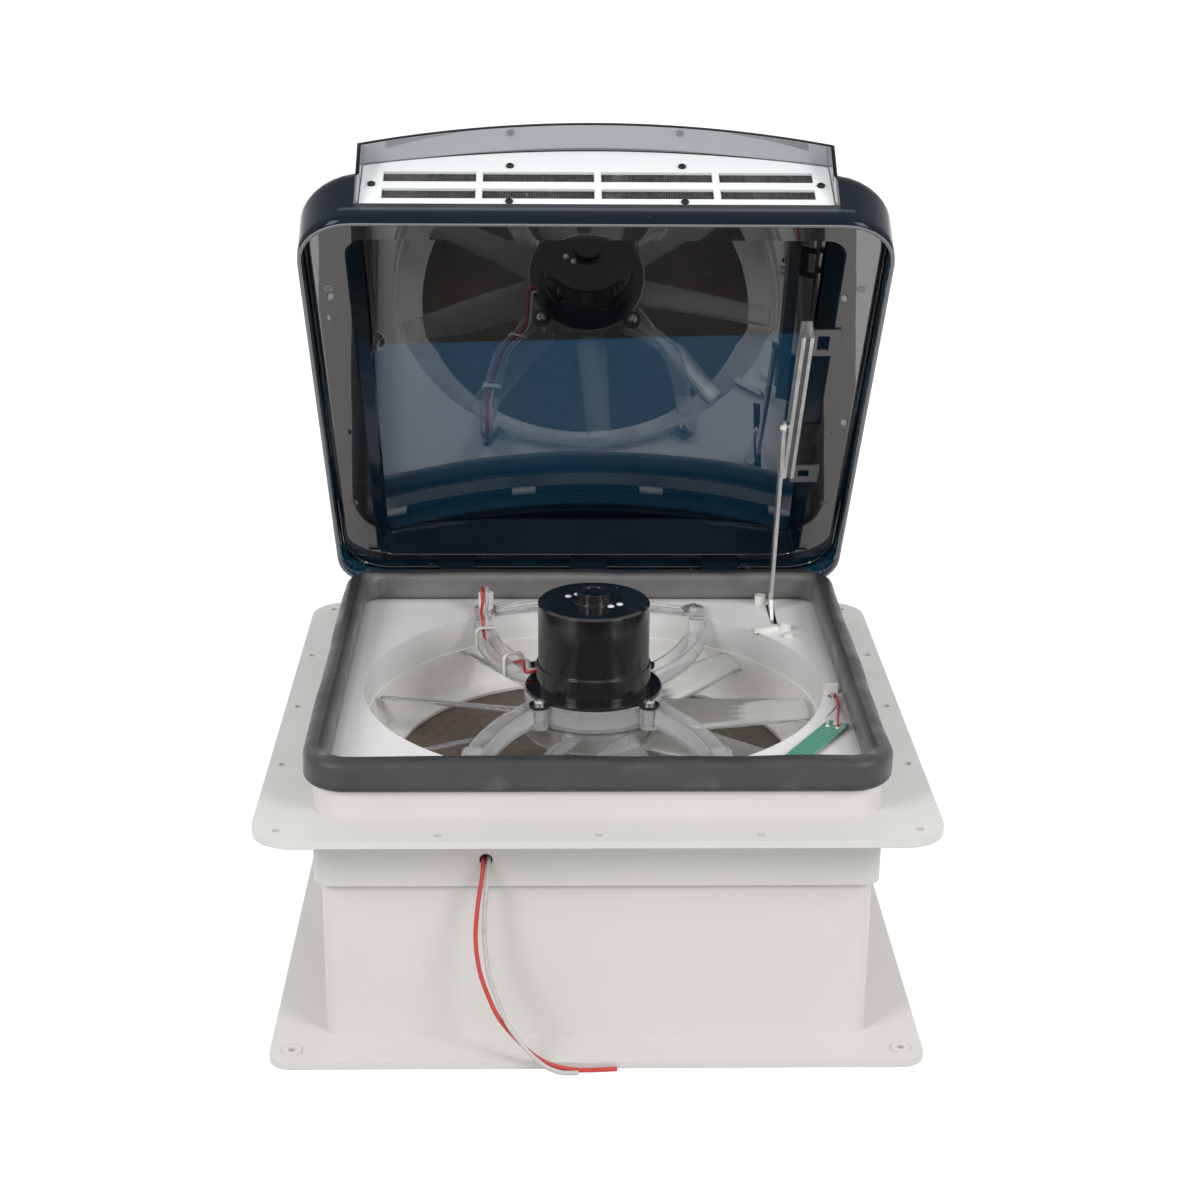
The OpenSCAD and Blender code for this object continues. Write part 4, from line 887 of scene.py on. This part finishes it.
# %% [markdown]
# The liner is a second sheet. It makes a flat ledge that rests over the seal, and behind it a wall that leans
# inwards and runs up towards the roof. In front there is only the ledge. A profile is carried round between two
# outlines. An outline is a rounded rectangle: half width and half length to the middles of its corners, the
# corners' radius, and its own middle along s.


# %% The lid's liner
def liner_grid(profile, outer_edge, inner_edge):
    """Each profile step (t, lean, n): t goes from the outer to the inner outline, lean moves on inwards."""
    base_out, normal = corner_walk(*outer_edge[:2], 8, 24)
    base_in, _ = corner_walk(*inner_edge[:2], 8, 24)
    out_line = base_out + outer_edge[2] * normal + [0, outer_edge[3]]
    in_line = base_in + inner_edge[2] * normal + [0, inner_edge[3]]
    rings = []
    for t, lean, n in profile:
        ring = (1 - t) * out_line + t * in_line - lean * normal
        rings.append(np.column_stack([ring, np.broadcast_to(n, len(ring))]))
    return np.stack(rings), normal


outer_edge = (CORNER_AT, 161.25, 33.2, (LID_BACK + LID_FRONT) / 2)
inner_edge = (146.0, 157.5, 14.0, 182.5)
BEND, WALL_LEAN, WALL_RISE, ROOF_GAP = 1.2, 6.5, 28, 3.2
ledge_steps = [(t, 0, LEDGE) for t in np.linspace(0, 1, 6)]
round_steps = [(1, BEND * (1 - np.cos(a)), LEDGE + BEND * np.sin(a)) for a in quarter[2::2]]
wall_steps = [(1, BEND + WALL_LEAN * t, LEDGE + BEND + WALL_RISE * t) for t in np.linspace(0, 1, 9)[1:]]
grid, around_normal = liner_grid(ledge_steps + round_steps + wall_steps, outer_edge, inner_edge)
grid[..., 2] = np.minimum(grid[..., 2], roof(grid[..., 0], grid[..., 1]) - ROOF_GAP)
faces = grid_quads(*grid.shape[:2], close_columns=True).reshape(grid.shape[0] - 1, -1, 4)
keep = np.ones(faces.shape[:2], bool)
keep[len(ledge_steps) :, around_normal[:, 1] > 0.5] = False
points, quads = joined([(grid, faces[keep])])
liner_sheet = make_mesh("lid_liner_sheet", points, quads, "lid", weld=0.02)
liner_sheet.data.flip_normals()
liner_sheet.data.set_sharp_from_angle(angle=np.radians(50))
paint(liner_sheet, liner.material, liner_wall.material)
centres = np.empty(len(liner_sheet.data.polygons) * 3)
liner_sheet.data.polygons.foreach_get("center", centres)
height = (centres.reshape(-1, 3) - HINGE / 1000) @ [0, np.sin(LID_OPEN), np.cos(LID_OPEN)]
is_wall = (height > (LEDGE + 0.5) / 1000).astype(np.int32)
liner_sheet.data.polygons.foreach_set("material_index", is_wall)
thicken(liner_sheet, 1.5)
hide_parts("lid_liner")
print("liner:", len(liner_sheet.data.polygons), "faces")

# %% [markdown]
# ## Seal, screen and mesh
#
# The seal is one section carried round the collar's outline. Soft rubber never runs quite true, so its height
# and width drift by a few tenths of a millimetre as slow waves along its length.


# %% Rubber seal
SEAL_CORNER, SEAL_OUT, DECK_TOP = 152.5, 20.5, 175.0


def seal_grid(width, height, rounding, corner_steps=10, side_steps=50):
    """Rounded section swept round a square; waves in u, the way round, move it in and out and up and down."""
    base, normal = corner_walk(SEAL_CORNER, SEAL_CORNER, corner_steps, side_steps)
    edge, turn = corner_walk(width / 2 - rounding, height / 2 - rounding, 6, 5)
    section = edge + rounding * turn
    u = np.linspace(0, 2 * np.pi, len(base), endpoint=False)[:, None]
    wave_out = 0.35 * np.sin(9 * u + 1) + 0.2 * np.sin(23 * u)
    wave_up = 0.3 * np.sin(7 * u) + 0.2 * np.sin(19 * u + 2)
    upper = np.clip(section[None, :, 1] / height + 0.5, 0, 1)
    out = SEAL_OUT + section[None, :, 0] + wave_out * upper
    up = DECK_TOP + height / 2 + section[None, :, 1] + (wave_up - 0.4) * upper
    return np.concatenate([base[:, None] + out[..., None] * normal[:, None], up[..., None]], -1)


grid = seal_grid(15.0, 21.5, 5.5)
seal = make_mesh("rim_seal_rubber", grid, grid_quads(*grid.shape[:2], True, True), "base", weld=0.001)
paint(seal, rubber.material)
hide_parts("rim_seal")
print("seal:", len(seal.data.polygons), "faces")

# %% [markdown]
# The insect screen is woven wire, drawn as two layers of straight wires that touch. A round frame cuts each
# wire to length: half its length is the root of R squared less the square of its place.


# %% Woven screens
def wires(places, half_lengths, height, width, along_x):
    """Square wires: eight corners each, all at once. Their place is across, their length is along."""
    place, half = np.asarray(places)[:, None], np.asarray(half_lengths)[:, None]
    ends = np.array([-1, 1, 1, -1, -1, 1, 1, -1])
    sides = np.array([-1, -1, 1, 1, -1, -1, 1, 1]) * width / 2
    levels = np.array([-1, -1, -1, -1, 1, 1, 1, 1]) * width / 2
    along, over = half * ends, place + sides
    z = np.broadcast_to(height + levels, along.shape)
    points = np.stack([along, over, z] if along_x else [over, along, z], -1)
    cube = np.array([[0, 3, 2, 1], [4, 5, 6, 7], [0, 1, 5, 4], [1, 2, 6, 5], [2, 3, 7, 6], [3, 0, 4, 7]])
    if not along_x:
        cube = cube[:, ::-1]
    faces = cube[None] + 8 * np.arange(len(place))[:, None, None]
    return points.reshape(-1, 3), faces.reshape(-1, 4)


def ring_grid(profile, steps=120):
    """A closed profile of (radius, z) turned about the fan's axis."""
    radius, z = np.asarray(profile, float).T
    turn = np.linspace(0, 2 * np.pi, steps, endpoint=False)[:, None]
    return np.stack(np.broadcast_arrays(radius * np.cos(turn), radius * np.sin(turn), z), -1)


SCREEN_RADIUS, SCREEN_Z = 143.0, 119.2
places = np.arange(-142.5, 143, 1.5)
reach = np.sqrt(SCREEN_RADIUS**2 - places**2)
first = wires(places, reach, SCREEN_Z - 0.15, 0.3, True)
second = wires(places, reach, SCREEN_Z + 0.15, 0.3, False)
hoop = ring_grid([(142, 118.7), (144.4, 118.7), (144.4, 119.7), (142, 119.7)])
hoop_quads = grid_quads(*hoop.shape[:2], True, True) + len(first[0]) + len(second[0])
points = np.concatenate([first[0], second[0], hoop.reshape(-1, 3)])
quads = np.concatenate([first[1], second[1] + len(first[0]), hoop_quads])
screen = make_mesh("insect_screen_wires", points, quads, "base", smooth=False)
paint(screen, screen_wire)
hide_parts("insect_screen")
print("screen:", len(quads), "faces")

# %% [markdown]
# ## Louvre in the scoop's mouth
#
# The louvre plate leans back by 14 degrees, and its top follows the scoop's arc. It is a grid with a line at
# every edge of a slot, and the quads of the slots are left out.

# %% Louvre plate
LEAN, LOUVRE_FOOT = np.radians(14), (380.5, 18.5)
PANEL_HALF, PANEL_TOP = 148.7, 66.8
SLOTS_ACROSS = [(-135, -76.2), (-72, -1.5), (3, 73.5), (78, 137.5)]
SLOTS_UP = [(9.0, 20.7), (29.0, 41.0)]


def louvre_point(x, up, out):
    """A point of the louvre's plane: x across, up the leaning panel, and out towards the mouth."""
    s = LOUVRE_FOOT[0] - up * np.sin(LEAN) + out * np.cos(LEAN)
    n = LOUVRE_FOOT[1] + up * np.cos(LEAN) + out * np.sin(LEAN)
    return lid_point(x, s, n)


def louvre_sheet():
    """Six steps between each two lines across; the top line's height is the arc's, PANEL_TOP - drop(x)."""
    stops = np.concatenate([[-PANEL_HALF], *SLOTS_ACROSS, [PANEL_HALF]])
    lines = np.unique(np.concatenate([np.linspace(a, b, 7) for a, b in zip(stops[:-1], stops[1:])]))
    levels = np.concatenate([[0.0], *SLOTS_UP, [0.0]])
    x, up = np.meshgrid(lines, levels)
    up[-1] = PANEL_TOP - drop(lines, SCOOP_RADIUS)
    middle_x = (lines[:-1] + lines[1:]) / 2
    in_slot = np.any([(middle_x > a) & (middle_x < b) for a, b in SLOTS_ACROSS], axis=0)
    quads = grid_quads(*x.shape).reshape(len(levels) - 1, len(lines) - 1, 4)
    keep = np.ones(quads.shape[:2], bool)
    keep[1, in_slot] = keep[3, in_slot] = False
    return louvre_point(x, up, np.zeros_like(x)), quads[keep]


points, quads = louvre_sheet()
panel = make_mesh("louvre_plate", points, quads, "lid", smooth=False)
paint(panel, louvre_plastic)
thicken(panel, 2)
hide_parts("louvre_panel")
print("louvre plate:", len(quads), "faces")

# %% [markdown]
# Two strips of gauze lie behind the slots. Their wires are square, upright ones in front of level ones.

# %% Gauze
GAUZE_HALF, GAUZE_PITCH, GAUZE_WIRE = 139.5, 1.6, 0.42
parts, faces, count = [], [], 0
for low in (9.0, 26.0):
    uprights = np.arange(-139.2, 139.3, GAUZE_PITCH)
    levels = np.arange(low + 0.4, low + 15, GAUZE_PITCH)
    standing = wires(uprights, np.full(len(uprights), 7.4), -2.35, GAUZE_WIRE, False)
    lying = wires(levels, np.full(len(levels), GAUZE_HALF), -2.7, GAUZE_WIRE, True)
    for (points, quads), lift in ((standing, low + 7.5), (lying, 0)):
        parts.append(louvre_point(points[:, 0], points[:, 1] + lift, points[:, 2]))
        faces.append(quads + count)
        count += len(points)
gauze = make_mesh("louvre_gauze", np.concatenate(parts), np.concatenate(faces), "lid", smooth=False)
paint(gauze, cloth_thread)
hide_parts("louvre_mesh")
print("louvre gauze:", len(gauze.data.polygons), "faces")

# %% [markdown]
# ## Leads, ties and rivets at the motor
#
# Two thin leads leave the motor, lie in the back left arm's channel, climb over a post and go down through the
# deck. A smooth curve through their corner points gives them the easy bends of real wire. Two ties hold them:
# each is a band, so its section is carried round a rounded rectangle that stands across the arm.


# %% Places along the curved arm
ARM_CENTRE, ARM_BEND, ARM_FLOOR, CAN_FOOT = (-88.0, 139.6), 167.0, 163.7, 174.6
POST, POST_HOLE = (-76.6, 140.5), (-78.6, 149.9)


def along_arm(degrees, off, z):
    """A point over the back left arm, whose arc is turned about its centre; `off` is away from that centre."""
    a = np.radians(degrees)
    x = -ARM_CENTRE[0] - (ARM_BEND + off) * np.cos(a)
    y = ARM_CENTRE[1] + (ARM_BEND + off) * np.sin(a)
    return np.stack(np.broadcast_arrays(x, y, z), -1)


def motor_lead_route(x):
    """The lead's corner points; x is how far it lies beside the pair's middle line."""
    foot, over = DECK_TOP + 3.5, 192.6
    return [
        (-39.2, 15 - x, CAN_FOOT + 4), (-44.7 - x, 16 - 1.2 * x, CAN_FOOT + 3),
        along_arm(-36, x, CAN_FOOT + 0.5), along_arm(-30, x, ARM_FLOOR + 4), along_arm(-22, x, ARM_FLOOR),
        along_arm(-14.5, x, ARM_FLOOR + 2), along_arm(-11.3, x, ARM_FLOOR + 9),
        along_arm(-9.6, x, foot + 1.5), along_arm(-7, x, foot + 4),
        (POST[0] - x - 0.5, POST[1] - 9.2, foot + 7), (POST[0] - x - 1, POST[1] - 6.8, over - 1),
        (POST[0] - x - 1, POST[1], over + 0.3), (POST[0] - x - 1, POST[1] + 7.4, over - 1.8),
        (POST[0] - x - 1.5, POST[1] + 9.4, DECK_TOP + 8), (POST_HOLE[0] - x, POST_HOLE[1], DECK_TOP + 1),
        (POST_HOLE[0] - x, POST_HOLE[1], DECK_TOP - 8),
    ]


# %% [markdown]
# The red and the white lead follow the same route, one on each side of its middle line.

# %% Motor leads
LEAD_SPREAD, MOTOR_LEAD_RADIUS = 1.7, 1.2
LEADS = (("red", LEAD_SPREAD, red_insulation), ("white", -LEAD_SPREAD, white_insulation))
for colour, beside, insulated in LEADS:
    path = smooth_path(np.array([np.ravel(p) for p in motor_lead_route(beside)]), 9)
    lead = capped_tube(f"motor_wire_{colour}", path, MOTOR_LEAD_RADIUS, 14, "base")
    paint(lead, insulated)
    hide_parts(f"motor_lead_{colour}")
    print(colour, "motor lead:", round(np.linalg.norm(np.diff(path, axis=0), axis=1).sum()), "mm")


# %% [markdown]
# Each tie's band has four corners in its section, 1.1 mm thick and 3.2 mm wide.


# %% Ties round the arm
def tie_grid(degrees):
    """The section's four corners, carried round a rounded rectangle that stands across the arm."""
    base, normal = corner_walk(4.0, 5.0, 6, 3)
    a = np.radians(degrees)
    outwards, forwards = np.array([-np.cos(a), np.sin(a), 0]), np.array([np.sin(a), np.cos(a), 0])
    rings = []
    for out, side in ((2.9, -1.6), (4.0, -1.6), (4.0, 1.6), (2.9, 1.6)):
        flat = base + out * normal
        upright = flat[:, 1:] * np.array([0, 0, 1.0])
        rings.append(along_arm(degrees, 0, 167.4) + flat[:, :1] * outwards + upright + side * forwards)
    return np.stack(rings)


grids = np.stack([tie_grid(-31), tie_grid(-12)])
quads = copies(grid_quads(*grids.shape[1:3], True, True), len(grids), grids[0, ..., 0].size)
ties = make_mesh("lead_ties", grids, quads, "base", weld=0.001)
ties.data.set_sharp_from_angle(angle=np.radians(40))
paint(ties, clip_plastic)
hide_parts("cable_ties")

# %% [markdown]
# Four low domes sit on the motor: a quarter circle turned round, with a short skirt sunk in the motor below it.

# %% Rivets on top of the motor
RIVETS = np.array([(-17, 8, 234.6), (-11, 12, 234.6), (17, -8, 234.6), (11, -12, 234.6)])
RIVET_RADIUS, RIVET_RISE, RIVET_SUNK = 2.3, 0.9, 0.3
turn = np.linspace(0, 2 * np.pi, 24, endpoint=False)
dome = np.radians(np.linspace(0, 90, 6))[:, None]
reach, rise = RIVET_RADIUS * np.cos(dome), RIVET_RISE * np.sin(dome)
rivet = np.stack(np.broadcast_arrays(reach * np.cos(turn), reach * np.sin(turn), rise), -1)
under = rivet[:1] * [1, 1, 0] - [0, 0, RIVET_SUNK]
rivet = np.concatenate([under * [0, 0, 1], under, rivet])
domes = RIVETS[:, None, None] + rivet
quads = copies(grid_quads(*rivet.shape[:2], close_columns=True), len(RIVETS), rivet[..., 0].size)
rivets = make_mesh("motor_rivets", domes, quads, "base", weld=0.001)
paint(rivets, clip_plastic)
print("rivets:", len(rivets.data.polygons), "faces")

# %% [markdown]
# ## The lift's rail
#
# The rail is a channel of bright steel, open towards the arm, whose roller runs inside it. Its lower wall has a
# groove along it, whose faces get the dark metal as painted shade, so it reads as a dark line between two bright
# ones. The section is swept in a straight line, and its ends are filled afterwards.

# %% Channel rail
RAIL_X, RAIL_N, RAIL_ENDS = 136.5, 6.65, (127.0, 279.0)
section = np.array([
    (0, 5), (0, 7.4), (8, 7.4), (8, -7.4), (5.6, -7.4), (5.6, -6.5), (2.6, -6.5), (2.6, -7.4), (0, -7.4),
    (0, -5), (1.4, -5), (1.4, -6), (6.6, -6), (6.6, 6), (1.4, 6), (1.4, 5),
])
points = lid_point(RAIL_X + section[:, 0], np.array(RAIL_ENDS)[:, None], RAIL_N + section[:, 1])
quads = grid_quads(*points.shape[:2], close_columns=True)
channel = make_mesh("lift_rail_channel", points, quads, "lid", smooth=False)

fill_ends(channel.data)
paint(channel, lift_steel, dark_zinc_and_groove_shade)
# Painted shade: the groove's faces take the dark metal.
painted_groove_shade = np.isin(np.arange(len(channel.data.polygons)), (4, 5, 6)).astype(np.int32)
channel.data.polygons.foreach_set("material_index", painted_groove_shade)
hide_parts("lift_rail")
print("rail:", len(channel.data.polygons), "faces")

# %% [markdown]
# ## Sides of the scoop's mouth
#
# The mouth is cut down to a sill that lies below the main roof, so each of its ends needs a side of its own. It
# is an upright plate between sill and roof, and its front follows the roof's rounded shoulder.

# %% Mouth sides
SIDE_IN, SIDE_OUT = 149.1, 151.4
turn = shoulder[-2::-1]
side_rows = np.append([362.0, 366.0, 370.0, 374.0], CORNER_FRONT + ROOF_OUT + SHOULDER * np.cos(turn))
side_rows[-1] -= 0.2
fall = np.append(np.zeros(4), SHOULDER * (1 - np.sin(turn)))
top = roof(SIDE_OUT, np.minimum(side_rows, CORNER_FRONT + ROOF_OUT)) - fall
bottom = np.full_like(top, SILL)
for name, sign in (("mouth_side_left", -1), ("mouth_side_right", 1)):
    points = lid_point(
        sign * np.array([SIDE_IN, SIDE_OUT, SIDE_OUT, SIDE_IN]),
        side_rows[:, None],
        np.stack([bottom, bottom, top, top], axis=1),
    )
    quads = grid_quads(*points.shape[:2], close_columns=True)
    side = make_mesh(name, points, quads, "lid", smooth=False)
    fill_ends(side.data)
    paint(side, inner.material)
    print(name, len(side.data.polygons), "faces")

# %% [markdown]
# ## Light and floor
#
# The photograph is lit evenly, with one soft lamp on each side in front, as the lead's two shadows show. The
# world is a plain pale grey that the camera sees as white. The floor looks white to the camera through a
# little emission that only camera rays see, and it keeps the object's soft shadow.

# %% World, lamps and floor
SKY_LIGHT, FLOOR_TONE, FLOOR_GLOW, FLOOR_HALF = 0.72, 0.5, 0.75, 20
LAMP_SIZE, LAMP_WATTS, LAMP_PLACE, LAMP_AIM = (0.7, 0.9), 20, (1.45, -1.4, 1.45), (0, 0, 0.15)
UNDER_DUCT = (0.164, 0.166)
scene = bpy.context.scene
scene.view_settings.view_transform = "Standard"
world = bpy.data.worlds.new("studio")
scene.world = world
sky = Nodes(world)
surround = sky.tree.nodes["Background"]
surround.inputs["Color"].default_value = (1, 1, 1, 1)
surround.inputs["Strength"].default_value = SKY_LIGHT
seen = sky.add("ShaderNodeBackground", Color=(1, 1, 1, 1), Strength=1.0)
choose = sky.add("ShaderNodeMixShader")
sky.link(sky.seen_ray(), choose.inputs["Fac"])
sky.link(surround.outputs["Background"], choose.inputs[1])
sky.link(seen.outputs["Background"], choose.inputs[2])
sky.link(choose.outputs[0], sky.tree.nodes["World Output"].inputs["Surface"])

for name, side in (("left", -1), ("right", 1)):
    lamp_data = bpy.data.lights.new(f"softbox_{name}", "AREA")
    lamp_data.shape = "RECTANGLE"
    lamp_data.size, lamp_data.size_y = LAMP_SIZE
    lamp_data.energy = LAMP_WATTS
    place = np.array(LAMP_PLACE) * [side, 1, 1]
    aim = np.array(LAMP_AIM) - place
    aim /= np.linalg.norm(aim)
    across = np.cross(aim, [0, 0, 1])
    across /= np.linalg.norm(across)
    lamp = bpy.data.objects.new(lamp_data.name, lamp_data)
    stand(lamp, across, np.cross(across, aim), aim, place)

floor_mesh = bpy.data.meshes.new("floor")
corners = [(sx * FLOOR_HALF, sy * FLOOR_HALF, 0) for sx, sy in ((-1, -1), (1, -1), (1, 1), (-1, 1))]
floor_mesh.from_pydata(corners, [], [(0, 1, 2, 3)])
floor = bpy.data.objects.new("floor", floor_mesh)
floor.location.z = -0.0002
scene.collection.objects.link(floor)
pale = Finish("floor_white", (FLOOR_TONE,) * 3, 0.9)
glow = pale.add("ShaderNodeEmission")
outside = pale.range(square_reach(pale), *UNDER_DUCT, 0, 1)
shown = pale.math("MULTIPLY", pale.seen_ray(), outside)
pale.link(pale.math("MULTIPLY", shown, FLOOR_GLOW), glow.inputs["Strength"])
together = pale.add("ShaderNodeAddShader")
pale.link(pale.shader.outputs["BSDF"], together.inputs[0])
pale.link(glow.outputs["Emission"], together.inputs[1])
pale.link(together.outputs[0], pale.tree.nodes["Material Output"].inputs["Surface"])
floor_mesh.materials.append(pale.material)
